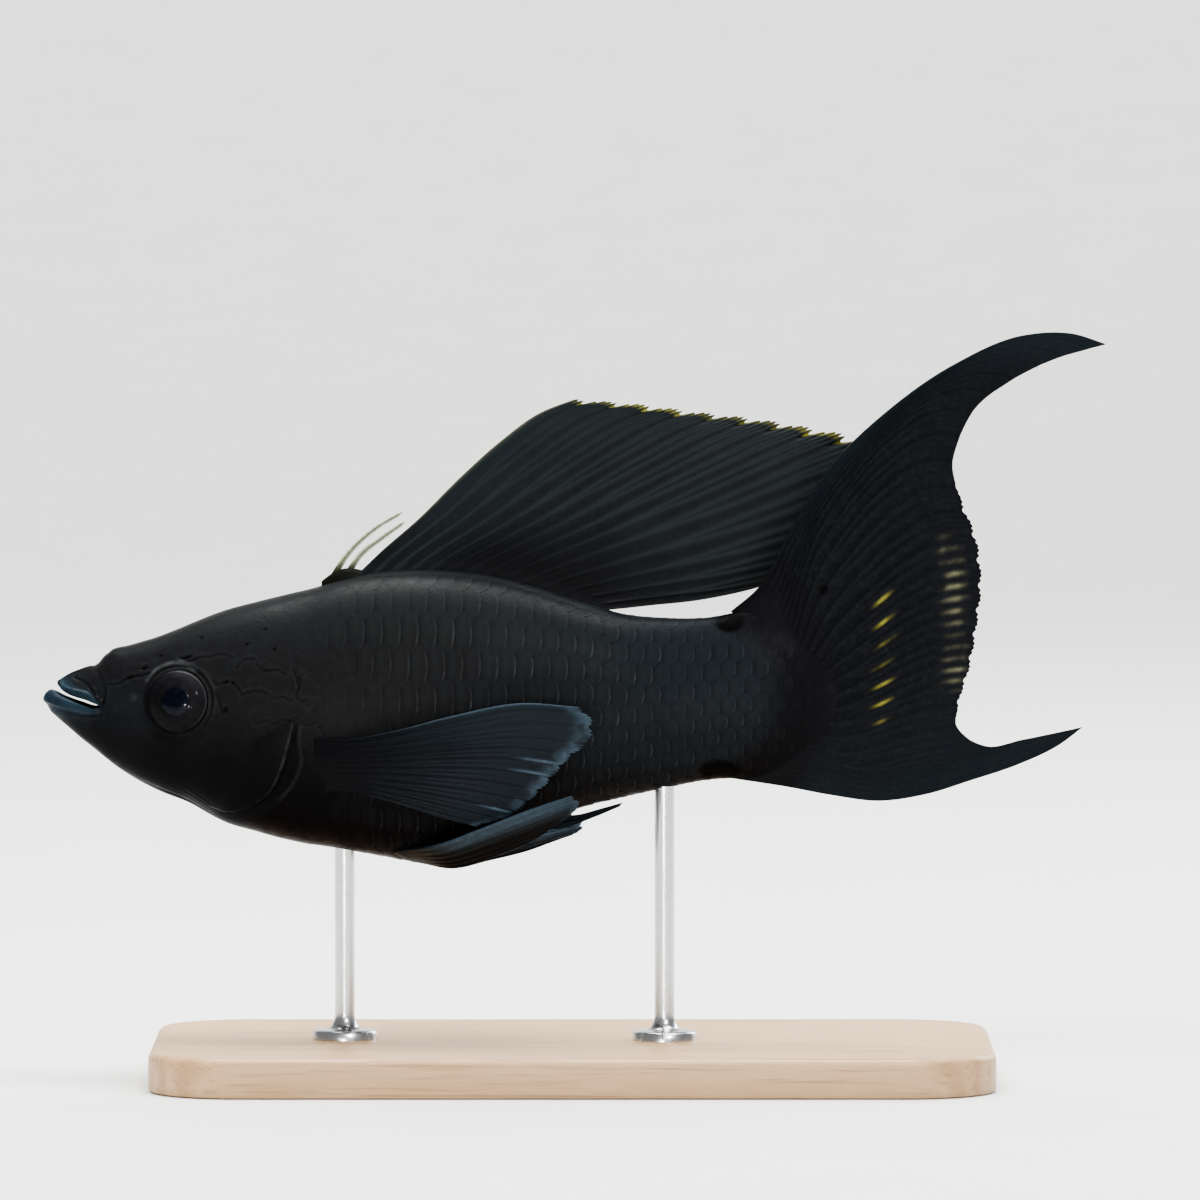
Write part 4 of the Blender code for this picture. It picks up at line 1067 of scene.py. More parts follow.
def makeBed():
    # the body's surface with a flat map, from which the scales take their place
    places, shares = np.arange(*scales["bed"]), np.linspace(*scales["bedShares"])
    angles = np.array([bedAngles(min(s, body["tableEnd"]), shares) for s in places])
    points = fleshPoint(places[:, None], angles)
    behind = places[:, None] - fanLine(angles)
    outs = unit(np.cross(np.gradient(points, axis=1), np.gradient(points, axis=0)))
    outs *= np.sign(((points - points[:, 20:-20].mean(axis=1, keepdims=True)) * outs).sum())
    under = scales["under"] * (1 - ramp(behind, *body["insetEnd"]))
    points = points - outs * under[..., None]
    faces = sheetFaces(*points.shape[:2])[:, [0, 3, 2, 1]]
    mesh = newMesh("scaleBed", points.reshape(-1, 3) * mm, faces.tolist())
    addMarks(mesh, "bedOut", outs.reshape(-1, 3))
    u, v = np.meshgrid(places * scales["flat"], shares, indexing="ij")
    flatMap = stacked(u, v).reshape(-1, 2)[faces.ravel()]
    layer = mesh.uv_layers.new(name="bedMap")
    layer.uv.foreach_set("vector", flatMap.astype(np.float32).ravel())
    return linked("scaleBed", mesh)


def makePlate():
    # one scale: x runs from its root to its rear edge, y across, z outwards in metres
    across, toEdge = np.meshgrid(np.linspace(-1, 1, 9), (0.0, 0.4, 0.72, 0.88, 1.0))
    rear = 0.74 + 0.26 * (1 - np.abs(across) ** 2.2) ** 0.5
    front = 0.06 + 0.10 * across ** 2
    x = front + (rear - front) * toEdge
    y = across * (0.72 + 0.28 * ramp(x, 0.05, 0.45))
    z = scales["sink"] + scales["lift"] * x + scales["dome"] * (1 - y ** 2)
    top = stacked(x - 1.0, y * 0.5, z * mm).reshape(-1, 3)
    at = stacked(toEdge, across, np.zeros_like(x)).reshape(-1, 3)
    rim = rimOf(np.arange(x.size).reshape(x.shape))
    foot = x.size + np.arange(len(rim))
    wall = stacked(rim, np.roll(rim, -1), np.roll(foot, -1), foot)
    faces = sheetFaces(*x.shape).tolist() + wall.tolist() + [foot.tolist()]
    lower = top[rim] - np.array((0, 0, scales["thick"] * mm))
    mesh = newMesh("scalePlate", np.concatenate([top, lower]), faces)
    addMarks(mesh, "plateAt", np.concatenate([at, at[rim]]))
    return linked("scalePlate", mesh)


def scaleSites():
    # the root of each scale on the flat layout, with its length, width and lift
    sites, sizes = [], []
    s, rows, flat = scales["first"], scales["rows"], scales["flat"]
    for column in range(scales["columns"]):
        pitch = scales["pitch"] - scales["pitchLoss"] * column / 2
        for row in range(column % 2, rows, 2):
            share = (row + 0.5) / rows
            angle = bedAngles(min(s, scales["lastRing"]), share)
            rise, behind = math.sin(angle), s - fanLine(angle)
            start = gillLine(angle) + scales["afterGill"]
            if rise > 0.1:
                start = scales["backStart"] - scales["backReach"] * ramp(rise, 0.35, 1.0)
            underPectoral = -0.8 < rise < -0.05 and s < scales["pectoralEnd"]
            if s < start or behind > scales["pastFan"] or underPectoral:
                continue
            shrink = 1 - 0.3 * ramp(s, 66, 78)
            shown = max(start, scales["shownFrom"])
            fade = 0.16 + 0.84 * ramp(s, shown, shown + scales["shownOver"])
            fade -= 0.75 * ramp(behind, -4.0, 3.0)
            fade = max(fade * (1 - 0.5 * ramp(rise, 0.6, 0.95)), scales["leastShown"])
            long = scales["long"] * pitch / scales["pitch"] * shrink * flat
            sites.append((s * flat, share, 0.0))
            sizes.append((long, scales["wide"] / rows, fade))
        s += pitch / 2
    mesh = newMesh("scales", sites)
    addMarks(mesh, "size", sizes)
    addMarks(mesh, "rootAt", sites)
    return linked("scales", mesh)


def scaleTree():
    # lays a plate on each site of the flat layout, then bends the layout onto the bed
    wire, get, identifiers = startTree("layScales", {
        "Geometry": "Geometry", "Plate": "Object", "Bed": "Object", "Tilt": "Float",
        "Seed": "Int", "Finish": "Material"})
    plate, bed = (wire.node("GeometryNodeObjectInfo", None, {"Object": get[name]}, "Geometry")
                  for name in ("Plate", "Bed"))
    long, wide = named(wire, "size").parts()[:2]
    size = wire.node("ShaderNodeCombineXYZ", None, {0: long, 1: wide, 2: 1.0})
    laid = wire.node("GeometryNodeInstanceOnPoints", None,
                     {"Points": get["Geometry"], "Instance": plate, "Scale": size})
    lot = wire.node("FunctionNodeRandomValue", {"data_type": "FLOAT"}, {"Seed": get["Seed"]}, 1)
    marked = stored(wire, laid, "lot", lot, "INSTANCE")
    loose = wire.node("GeometryNodeRealizeInstances", None, {"Geometry": marked})
    x, y, z = wire.node("GeometryNodeInputPosition").parts()
    flatAt = wire.node("ShaderNodeCombineXYZ", None, {0: x, 1: y})
    bedMap = named(wire, "bedMap")

    def sampled(value):
        values = {"Mesh": bed, "Value": value, "UV Map": bedMap, "Source UV Map": bedMap,
                  "Sample UV": flatAt}
        made = wire.tree.nodes.new("GeometryNodeSampleUVSurface")
        made.data_type = "FLOAT_VECTOR"
        for socket in made.inputs:
            if socket.enabled and socket.name in values:
                plug(wire.tree, socket, values[socket.name])
        return Wire(wire.tree, made.outputs[0])

    ground = sampled(wire.node("GeometryNodeInputPosition"))
    out = sampled(named(wire, "bedOut"))
    edge, fade = named(wire, "plateAt").parts()[0], named(wire, "size").parts()[2]
    tilt = (named(wire, "lot", "FLOAT") - 0.5) * get["Tilt"] * edge * mm
    height = z * fade + tilt + (fade - 1.0) * (scales["settle"] * mm)
    at = added(wire, ground, scaled(wire, out, height))
    moved = wire.node("GeometryNodeSetPosition", None, {"Geometry": loose, "Position": at})
    endTree(wire, moved, get["Finish"])
    return wire.tree, identifiers


def makeScales():
    made, bed, plate = scaleSites(), makeBed(), makePlate()
    count = len(made.data.vertices)
    mesh = runTree(made, *scaleTree(), {
        "Plate": plate, "Bed": bed, "Tilt": scales["tilt"], "Seed": scales["seed"],
        "Finish": scaleMaterial()})
    for helper in (bed, plate):
        bpy.data.objects.remove(helper)
    root, at, size, lot = (readMarks(mesh, name) for name in ("rootAt", "plateAt", "size", "lot"))
    s = root[:, 0] / scales["flat"]
    # how strongly each scale's painted highlights and shade show: random, and fading with the scale
    paintedLightStrength = lot[:, 0] * 0.6 + size[:, 2] * 0.4
    at[:, 2] = paintedLightStrength * (size[:, 2] * (1 - 0.4 * ramp(s, 56, 66)))
    mesh.attributes["plateAt"].data.foreach_set("vector", at.ravel())
    # each scale gets a small patch of the OFBake map at its root's place on the flat layout
    patch = stacked(s / 80 + (at[:, 0] - 0.5) * scales["patch"],
                    root[:, 1] + at[:, 1] / 2 * scales["patch"])
    corner = np.empty(len(mesh.loops), np.int32)
    mesh.loops.foreach_get("vertex_index", corner)
    for layer in list(mesh.uv_layers):
        mesh.uv_layers.remove(layer)
    layer = mesh.uv_layers.new(name="OFBake")
    layer.uv.foreach_set("vector", patch[corner].astype(np.float32).ravel())
    mesh.shade_smooth()
    mesh.set_sharp_from_angle(angle=math.radians(50))
    handIn(made, "skin")
    print("scales laid:", count)


# Fins: a closed two-faced sheet between four edges, whose rays Geometry Nodes raise

def sheetPoint(edges, u, v):
    root, outer, first, last = edges
    zero, one = np.zeros_like(u), np.ones_like(u)
    w, x = u[..., None], v[..., None]
    corners = (1 - w) * (1 - x) * root(zero) + w * (1 - x) * root(one)
    corners = corners + (1 - w) * x * outer(zero) + w * x * outer(one)
    return (1 - x) * root(u) + x * outer(u) + (1 - w) * first(v) + w * last(v) - corners


def sheetFrame(edges, u, v):
    step = 0.01
    u0, u1 = np.clip(u - step, 0, 1), np.clip(u + step, 0, 1)
    v0, v1 = np.clip(v - step, 0, 1), np.clip(v + step, 0, 1)
    across = sheetPoint(edges, u1, v) - sheetPoint(edges, u0, v)
    along = sheetPoint(edges, u, v1) - sheetPoint(edges, u, v0)
    out = unit(np.cross(across, along))
    out[out[..., 1] < 0] *= -1
    return out, along / (v1 - v0)[..., None]


rays = {"Relief": 0.15, "Flank": 0.2, "First fork": 0.3, "Second fork": 0.62, "Spread": 0.21,
        "Notch": 0.016, "Bare": 0.1}


def finTree():
    # raises forking rays on a sheet whose points carry finAt, outDir, alongDir and half
    wire, get, identifiers = startTree("raiseRays", {
        "Geometry": "Geometry", **dict.fromkeys(rays, "Float"), "Finish": "Material"})
    across, along = named(wire, "finAt").parts()[:2]
    aside = (across - across.math("ROUND")).math("ABSOLUTE")
    first = along.ramp(get["First fork"], get["First fork"] + 0.35) * get["Spread"]
    second = along.ramp(get["Second fork"], get["Second fork"] + 0.3) * get["Spread"] * 0.5
    twice = ((aside - first).math("ABSOLUTE") - second).math("ABSOLUTE")
    share = twice / (get["Flank"] * (1.0 - along * 0.62))
    ridge = (share * share * -1.0).math("EXPONENT")
    bare = along.ramp(get["Bare"] * 0.35, get["Bare"])
    half = named(wire, "half", "FLOAT") + ridge * get["Relief"] * (1.0 - along * 0.72) * bare
    short = (ridge - 1.0) * 0.5 - (aside * 2.0) ** 0.7 * 0.5
    back = short * along.ramp(0.9, 1.0) * get["Notch"]
    shift = added(wire, scaled(wire, named(wire, "outDir"), half),
                  scaled(wire, named(wire, "alongDir"), back))
    raised = wire.node("GeometryNodeSetPosition", None,
                       {"Geometry": get["Geometry"], "Offset": shift})
    endTree(wire, stored(wire, raised, "ray", ridge), get["Finish"])
    return wire.tree, identifiers


rayTree = finTree()


def makeFin(name, fin, edges, half, material, paint, nodes, move=None, notched=None):
    columns, rows = (fin["rays"] - 1) * fin["perRay"] + 1, fin["rows"]
    u, v = np.meshgrid(np.linspace(0, 1, columns), np.linspace(0, 1, rows) ** 0.92, indexing="ij")
    point = sheetPoint(edges, u, v)
    if move:
        point = point + move(u, v)
    out, along = sheetFrame(edges, u, v)
    if notched:
        along = along * notched(point)[..., None]
    at = stacked(u * (fin["rays"] - 1), v, np.zeros_like(u))
    # both faces start a little apart, so that their normals can be found
    count, apart = columns * rows, 0.02
    points, outs, alongs, at = (np.tile(value.reshape(-1, 3), (2, 1))
                                for value in (point, out, along, at))
    outs[:count] *= -1
    quads, rim = sheetFaces(columns, rows), rimOf(np.arange(count).reshape(columns, rows).T)
    after = np.roll(rim, -1)
    wall = stacked(after, rim, rim + count, after + count)
    faces = np.concatenate([quads, quads[:, ::-1] + count, wall]).tolist()
    made = pieceFrom(name, points + outs * apart, faces, material)
    spare = {"outDir": outs, "alongDir": alongs * mm,
             "half": (np.tile(half(u, v).ravel(), 2) - apart) * mm}
    for kind, values in {**spare, "finAt": at, "marks": paint(points, at)}.items():
        addMarks(made.data, kind, values)
    values = {**rays, **fin["change"], "Finish": material}
    values["Relief"] *= mm
    mesh = runTree(made, *rayTree, values)
    for kind in spare:
        mesh.attributes.remove(mesh.attributes[kind])
    mesh.shade_smooth()
    handIn(made, "fin", *nodes)


def thinning(membrane, rootHalf, reach=0.3):
    def half(u, v):
        root = rootHalf(u) if callable(rootHalf) else rootHalf
        fade = np.clip(1 - v / reach, 0, 1) ** 2
        thick = membrane + (np.maximum(root, membrane) - membrane) * fade
        return thick * (1 - 0.6 * ramp(v, 0.86, 1.0))
    return half


def edgeThrough(points, start=None):
    # a smooth edge through points of s, h and y, which is 0 where it isn't given
    knots = [place(*(*point, 0.0)[:3]) for point in points]
    return curveThrough(knots if start is None else [start, *knots])


def edgesOf(root, outer, first, last):
    # a sheet's four edges; its sides start at the ends of its root
    return root, edgeThrough(outer), edgeThrough(first, root(0.0)), edgeThrough(last, root(1.0))


def sideways(side):
    return stacked(np.zeros_like(side), side, np.zeros_like(side))


def speckled(points, scale, low, high, seed):
    # a smooth pseudo-random value at each point, from a few sine waves
    wild = np.random.default_rng(seed)
    total = np.zeros(len(points))
    for k in range(7):
        turn = unit(wild.normal(size=3)) * scale * (0.7 + 0.35 * k)
        total += np.sin(points @ turn + wild.uniform(0, 6.28))
    return ramp(total / 3.0, low, high)


dorsal = {
    "root": (31.2, 56.2),
    "front": ((33.7, 14.7), (37.7, 18.2), (41.7, 22.2), (45.7, 25.8), (49.7, 28.7), (53.5, 30.2)),
    "top": ((53.5, 30.2), (59.7, 29.7), (65.7, 28.9), (71.7, 28.2), (77.7, 27.2), (81.7, 26.2),
            (83.9, 24.4), (84.1, 21.3), (82.5, 17.5), (79.5, 14.4), (76.3, 12.8)),
    "rear": ((60.7, 9.5), (65.7, 10.0), (71.2, 11.1), (76.3, 12.8)),
    "rays": 15,
    "perRay": 20,
    "rows": 88,
    "change": {"Relief": 0.22, "Flank": 0.24, "Notch": 0.045},
    "lean": 2.6,
    "wave": 0.5,
    "spines": (((28.4, 11.6), (30.7, 14.8), (33.2, 17.1), (36.0, 18.8)),
               ((29.9, 12.2), (31.8, 14.5), (34.2, 16.4), (36.2, 17.8))),
    "spineRadius": 0.33,
    "sheath": (27.8, 33.2),
}


def dorsalPaint(points, at):
    s, h = points[:, 0] - lipX, points[:, 2] - axisZ
    across, v = at[:, 0] / (dorsal["rays"] - 1), at[:, 1]
    topEdge = window(across, (0.0, 0.02), (0.62, 0.70))
    patchy = 0.45 + 0.55 * speckled(points, 1.1, -0.4, 0.6, 3)
    yellow = topEdge * ramp(v, 0.968, 0.99) * patchy
    # a painted highlight along the leading edge
    pale = 0.25 * (1 - ramp(across, 0.0, 0.012)) * ramp(v, 0.05, 0.3)
    rootDark = 0.8 * (1 - ramp(v, 0.08, 0.42)) * ramp(across, 0.12, 0.4)
    return stacked(yellow, pale, rootDark)


def makeDorsal():
    def root(u):
        s = between(dorsal["root"], u)
        return place(s, bodyLine("back", s) - 0.15, 0.0)

    def lean(u, v):
        s = sheetPoint(edges, u, v)[..., 0] - lipX
        side = sway(between(dorsal["root"], u)) - sway(s) + dorsal["lean"] * u * v ** 1.3
        return sideways(side + dorsal["wave"] * np.sin(2.2 * math.pi * u) * v)

    edges = edgesOf(root, dorsal["top"], dorsal["front"], dorsal["rear"])
    material = finMaterial("dorsalSkin", "fin")
    makeFin("dorsalFin", dorsal, edges, thinning(0.1, 0.62), material, dorsalPaint, ["dorsal_fin"],
            move=lean)
    makeSpines(finMaterial("spineBone", "spine", 0.4, "paleEdgeAndBacklight"))


def tubeAlong(line, radii, steps, around, flat):
    # the tube's points and faces, and at each point its share of the length and its height
    shares, turn = np.linspace(0, 1, steps), circle(around)
    middle = line(shares)
    ahead = unit(np.gradient(middle, axis=0))
    side = unit(np.cross(ahead, np.array((0.0, 0.0, 1.0)) + ahead[:, [2, 1, 0]] * 0.01))
    top = np.cross(side, ahead)
    ring = side[:, None] * np.cos(turn)[None, :, None] * flat
    ring = ring + top[:, None] * np.sin(turn)[None, :, None]
    points = (middle[:, None] + ring * radii(shares)[:, None, None]).reshape(-1, 3)
    return points, tubeFaces(steps, around), np.repeat(shares, around), np.tile(np.sin(turn), steps)


def sheathShape():
    # the low fleshy fold that the free spines grow from
    rings, around, sunk = 40, 24, 0.3
    share, turn = np.linspace(0.02, 0.98, rings)[:, None], circle(around)
    s = between(dorsal["sheath"], share)
    half = 0.25 + 0.5 * np.sin(math.pi * share)
    high = 0.25 + 0.6 * np.sin(math.pi * np.minimum(share * 1.3, 1.0)) + 0.25 * share
    height = bodyLine("back", s) - sunk + (high + sunk) * np.clip(np.sin(turn), -0.2, 1)
    return place(s, height, half * np.cos(turn)).reshape(-1, 3), tubeFaces(rings, around)


def makeSpines(material):
    # the free spines and their sheath, as one piece
    points, faces, marks, at = [], [], [], []

    def add(shape, rest, colours, where):
        start = sum(map(len, points))
        faces.extend(tuple(k + start for k in face) for face in rest)
        for kept, value in ((points, shape), (marks, colours), (at, where)):
            kept.append(value)

    def radius(t):
        return dorsal["spineRadius"] * (1 - 0.45 * t) * (1 - ramp(t, 0.93, 1.0) * 0.7)

    for spine in dorsal["spines"]:
        s = spine[0][0] + 0.3
        line = edgeThrough(spine[1:], place(s, bodyLine("back", s) - 0.1, 0.0))
        shape, rest, along, height = tubeAlong(line, radius, 60, 18, 0.8)
        # pale edges of each spine: the membrane's own pale edge, with painted backlight over it
        pale = ramp(np.abs(height), 0.1, 0.5) * ramp(along, 0.1, 0.3) * 0.9
        joint = 0.5 + 0.5 * np.sin(along * 95)
        dark = np.maximum(1 - ramp(along, 0.05, 0.3), joint * 0.25)
        none = np.zeros(len(shape))
        add(shape, rest, stacked(none, pale, dark), stacked(none, along, none))
    shape, rest = sheathShape()
    add(shape, rest, np.tile((0.0, 0.0, 0.93), (len(shape), 1)), np.zeros((len(shape), 3)))
    made = pieceFrom("dorsalSpines", np.concatenate(points), faces, material, 60)
    addMarks(made.data, "marks", np.concatenate(marks))
    addMarks(made.data, "finAt", np.concatenate(at))
    addMarks(made.data, "ray", np.ones(len(made.data.vertices)))
    handIn(made, "fin", "dorsal_fin")


caudal = {
    "top": ((71.4, 11.2), (74.7, 17.0), (78.7, 23.5), (84.5, 29.2), (91.2, 33.9), (97.7, 36.7),
            (102.7, 36.9), (105.9, 35.9)),
    "trail": ((105.9, 35.9), (100.2, 34.1), (96.1, 31.9), (93.2, 29.6), (91.5, 26.5), (90.8, 23.7),
              (91.9, 20.0), (93.2, 16.8), (93.8, 12.5), (93.4, 8.0), (92.6, 3.5), (91.5, -0.2),
              (91.2, -2.1), (92.3, -3.4), (94.2, -4.2), (97.7, -3.5), (101.2, -2.7), (103.7, -2.1)),
    "foot": ((74.3, -8.5), (78.9, -9.3), (83.5, -9.8), (88.1, -9.1), (92.7, -7.6), (97.2, -6.0),
             (101.4, -3.9), (103.7, -2.1)),
    "rays": 26,
    "perRay": 16,
    "rows": 100,
    "change": {"Relief": 0.085, "Flank": 0.2, "First fork": 0.25, "Second fork": 0.6,
               "Notch": 0.022, "Bare": 0.16},
    # see-through windows: s and length of a band of them, lowest and highest h, strength
    "bands": ((84.1, 0.72, -3.2, 12.6, 0.8), (91.2, 0.95, 0.6, 17.6, 0.5)),
    "spot": (78.1, 11.2, 0.85),
    "shift": (0.055, 0.045),  # how far the rays are moved at the root and at the edge
    "rootHalf": 0.3,  # of the body's half width
}


def caudalPaint(points, at):
    s, h = points[:, 0] - lipX, points[:, 2] - axisZ
    x, v = at[:, 0], at[:, 1]
    marks = np.zeros((len(points), 3))
    patchy = speckled(points, 1.3, -0.6, 0.4, 11)
    gaps = (0.5 - np.abs(x - np.round(x)), np.abs(2 * x - np.round(2 * x)) / 2)
    for k, (middle, size, low, high, strength) in enumerate(caudal["bands"]):
        bend = middle - 0.006 * (h - 6.0) ** 2
        band = hump(s - bend, size) * window(h, (low, low + 2.5), (high - 2.5, high))
        marks[:, k] = band * hump(gaps[k], 0.095) * strength * (0.25 + 0.75 * patchy)
    ps, ph, radius = caudal["spot"]
    spot = 1 - ramp(np.hypot(s - ps, h - ph) + 0.35 * patchy, radius * 0.9, radius * 1.4)
    marks[:, 2] = np.maximum(spot, 0.85 * (1 - ramp(s + 0.03 * (h - 1) ** 2, 76.5, 80.5)))
    return marks


def makeCaudal():
    power = body["rows"][-1, 4]

    def root(u):
        u = np.asarray(u, float)
        share = 1 - 2 * (u - caudal["shift"][0] * np.sin(math.pi * u))
        s = fanAt(share)
        middle, back, belly = bodyMiddle(s)
        reach = np.where(share > 0, back - middle, middle - belly)
        return place(s - 0.9, middle + reach * share, 0.0)

    def trail(u):
        return edge(u + caudal["shift"][1] * np.sin(math.pi * np.asarray(u, float)))

    def swayed(u, v):
        point = sheetPoint(edges, u, v)
        return sideways(sway(point[..., 0] - lipX) - point[..., 1])

    def rootHalf(u):
        share = np.abs(1 - 2 * u)
        width = caudal["rootHalf"] * bodyLine("halfWidth", fanAt(share))
        return width * rounded(share, power)

    def notched(point):
        # only the middle rays end in deep notches
        h = point[..., 2] - axisZ
        return window(h, (-2.0, 1.0), (19.0, 23.0)) + 0.05

    root, edge, top, foot = edgesOf(root, caudal["trail"], caudal["top"], caudal["foot"])
    edges = (root, trail, top, foot)
    material = finMaterial("tailSkin", "tail", lastRay=caudal["rays"] - 1)
    makeFin("caudalFin", caudal, edges, thinning(0.11, rootHalf, 0.32), material, caudalPaint,
            ["caudal_upper_lobe", "caudal_fan", "caudal_lower_lobe"], move=swayed, notched=notched)


def pairedPaint(pale, edgePale, bare=0.4, streaks=(), lead=0.25, shade=0.0):
    # painted sheen at the tips and in streaks on some rays, a pale band of the first rays, painted shade
    # on the rays behind it when shade is given, and a dark root
    def paint(points, at):
        x, v = at[:, 0], at[:, 1]
        front = (1 - ramp(x, lead * 0.2, lead)) * ramp(v, 0.03, 0.3)
        front = front * (1 - ramp(v, 0.75, 1.0) * 0.3)
        # painted sheen at the tips and on the streaks
        sheen = pale * ramp(v, 0.92, 1.0) * (0.2 + 0.8 * speckled(points, 1.4, -0.3, 0.6, 5))
        for ray in streaks:
            streak = hump(x - ray, 0.11) * window(v, (0.8, 0.92), (0.97, 1.0))
            sheen = np.maximum(sheen, 0.6 * streak)
        # painted shade over the rays behind the pale band
        shaded = shade * ramp(x, lead, lead + 0.5) * (1 - ramp(v, 0.9, 1.0))
        dark = np.maximum(0.88 * (1 - ramp(v, 0.12, bare)), shaded)
        pales = np.maximum(front * edgePale, sheen)
        return stacked(np.zeros(len(points)), pales, dark)
    return paint


pectoral = {
    "rootS": (27.2, 29.4),
    "rootH": (-3.3, -8.6),
    "top": ((30.5, -3.4, 8.4), (35.3, -2.5, 9.6), (41.2, -0.9, 10.9), (47.7, 0.4, 12.1),
            (53.7, 0.1, 12.9)),
    "rim": ((53.7, 0.1, 12.9), (55.1, -1.2, 13.0), (54.9, -3.1, 12.6), (52.9, -5.0, 11.7),
            (51.2, -7.0, 10.6), (49.5, -8.9, 9.6), (47.0, -11.0, 8.4), (43.5, -12.2, 7.4)),
    "foot": ((31.7, -8.8, 7.7), (35.7, -9.9, 7.7), (39.7, -11.2, 7.3), (43.5, -12.2, 7.4)),
    "rays": 12,
    "perRay": 20,
    "rows": 80,
    "change": {"Relief": 0.13, "Flank": 0.19, "First fork": 0.25, "Second fork": 0.55,
               "Notch": 0.018, "Bare": 0.45},
    "spread": {-1: 1.0, 1: 1.35},
    "sunk": (2.2, 1.15),  # how far the root lies forward and inward of the part's
}


def makePectoral(which, side, material):
    rest = bodySide(pectoral["rootS"][0], pectoral["rootH"][0])
    forward, inward = pectoral["sunk"]

    def spread(name):
        return [(s, h, side * (rest + (y - rest) * pectoral["spread"][side]))
                for s, h, y in pectoral[name]]

    def root(u):
        u = np.asarray(u, float)
        s = between(pectoral["rootS"], u) - forward - 0.7 * np.sin(math.pi * u)
        h = between(pectoral["rootH"], u)
        return place(s, h, side * (bodySide(s, h) - inward))

    edges = edgesOf(root, spread("rim"), spread("top"), spread("foot"))
    makeFin("pectoralFin" + which.capitalize(), pectoral, edges, thinning(0.07, 0.17), material,
            pairedPaint(0.4, 0.3, 0.7, (4.35, 5.3, 8.6)), ["pectoral_fin_" + which])


pelvic = {
    "rootS": (35.3, 37.1),
    "rootY": (3.0, 1.5),
    "front": {-1: ((39.7, -14.1, 6.6), (43.7, -12.4, 8.7), (48.7, -10.3, 10.4), (53.0, -8.8, 11.3)),
              1: ((39.7, -15.5, 5.6), (43.7, -15.0, 7.6), (48.7, -14.1, 9.2), (54.0, -12.9, 10.4))},
    "rim": {-1: ((53.0, -8.8, 11.3), (53.7, -9.4, 11.1), (53.2, -10.5, 10.0), (51.5, -11.8, 8.4)),
            1: ((54.0, -12.9, 10.4), (54.1, -13.4, 10.2), (53.3, -14.0, 9.5), (51.7, -14.4, 8.4))},
    "inner": {-1: ((40.6, -16.5, 3.2), (44.5, -15.5, 4.9), (48.2, -14.0, 6.6), (51.5, -11.8, 8.4)),
              1: ((40.7, -17.0, 3.4), (44.5, -16.4, 5.2), (48.2, -15.6, 6.8), (51.7, -14.4, 8.4))},
    # how strong the painted sheen at the tips is on each side
    "pale": {-1: 0.3, 1: 0.7},
    "rays": 6,
    "perRay": 26,
    "rows": 70,
    "change": {"Relief": 0.15, "Flank": 0.2, "Notch": 0.02, "Bare": 0.3},
}


def makePelvic(which, side, material):
    def sided(name):
        return [(s, h, side * y) for s, h, y in pelvic[name][side]]

    def root(u):
        s, y = between(pelvic["rootS"], u), between(pelvic["rootY"], u)
        return place(s, bellyUnder(s, y) + 0.35, side * y)

    edges = edgesOf(root, sided("rim"), sided("front"), sided("inner"))
    paint = pairedPaint(pelvic["pale"][side], 0.34, lead=1.9, shade=0.75)
    makeFin("pelvicFin" + which.capitalize(), pelvic, edges, thinning(0.08, 0.42), material, paint,
            ["pelvic_fin_" + which])


anal = {
    "root": (48.5, 51.3),
    "front": ((51.7, -12.9), (55.2, -11.7), (57.8, -10.6)),
    "rear": ((53.4, -11.5), (55.7, -10.9), (58.1, -10.2)),
    "rays": 3,
    "perRay": 24,
    "rows": 60,
    "change": {"Relief": 0.2, "Flank": 0.22, "Notch": 0.01, "Spread": 0.0},
}


def makeAnal(material):
    def root(u):
        s = between(anal["root"], u)
        return place(s, bodyLine("belly", s) + 0.4, 0.0)

    rim = (anal["front"][-1], anal["rear"][-1])
    edges = edgesOf(root, rim, anal["front"], anal["rear"])
    makeFin("analFin", anal, edges, thinning(0.13, 0.6), material, pairedPaint(0.75, 0.6),
            ["anal_fin"])


# Eyes: a lathe of lens, iris and rim

def eyeMaterial():
    made, shader, wire = newMaterial("eyeGlass", 0.4, 0.05)
    where = objectCoords(wire)
    out, rearward, upward = marksOf(wire, "ringAt")
    fleck = noise(wire, where, 1600.0, 3.0, 0.65)
    side = rearward.ramp(0.3, 0.9, 0.1, 1.0)
    iris = layered(tones["irisDeep"], (fleck.ramp(0.4, 0.72), "iris"))
    # the iris is darker towards the bottom: painted shade
    iris = blend(upward * 0.65 + 0.35, tones["pupil"], iris)
    # a painted reflection on the lens's upper part
    lensReflection = noise(wire, where, 700.0, 3.0, 0.6).ramp(0.48, 0.7) * upward.ramp(0.6, 0.97)
    lens = layered(tones["lensDeep"], (fleck.ramp(0.4, 0.75), "lens"),
                   (lensReflection * out.ramp(0.4, 1.1), "lensReflection"))
    # a painted highlight on the inner ring and painted shade in the groove at its rim, both on the lit
    # upper rear side
    ring = out.ramp(2.86, 2.94) * (1.0 - out.ramp(2.97, 3.04)) * side * 0.5
    colour = layered(blend((out + (fleck - 0.5) * 0.3).ramp(1.15, 1.6), lens, iris),
                     (ring, "pale"), (out.ramp(3.03, 3.1) * side, "socket"))
    fine = noise(wire, where, 2400.0, 2.0)
    dress(wire, shader, {
        "Base Color": colour, "Roughness": out.ramp(1.2, 1.6, 0.25, 0.5),
        "Coat Weight": out.ramp(1.3, 1.7, 0.12, 0.025), "Coat Roughness": 0.05,
        "Normal": bump(wire, fine * out.ramp(1.4, 1.9), 0.00002, 0.4)})
    return made


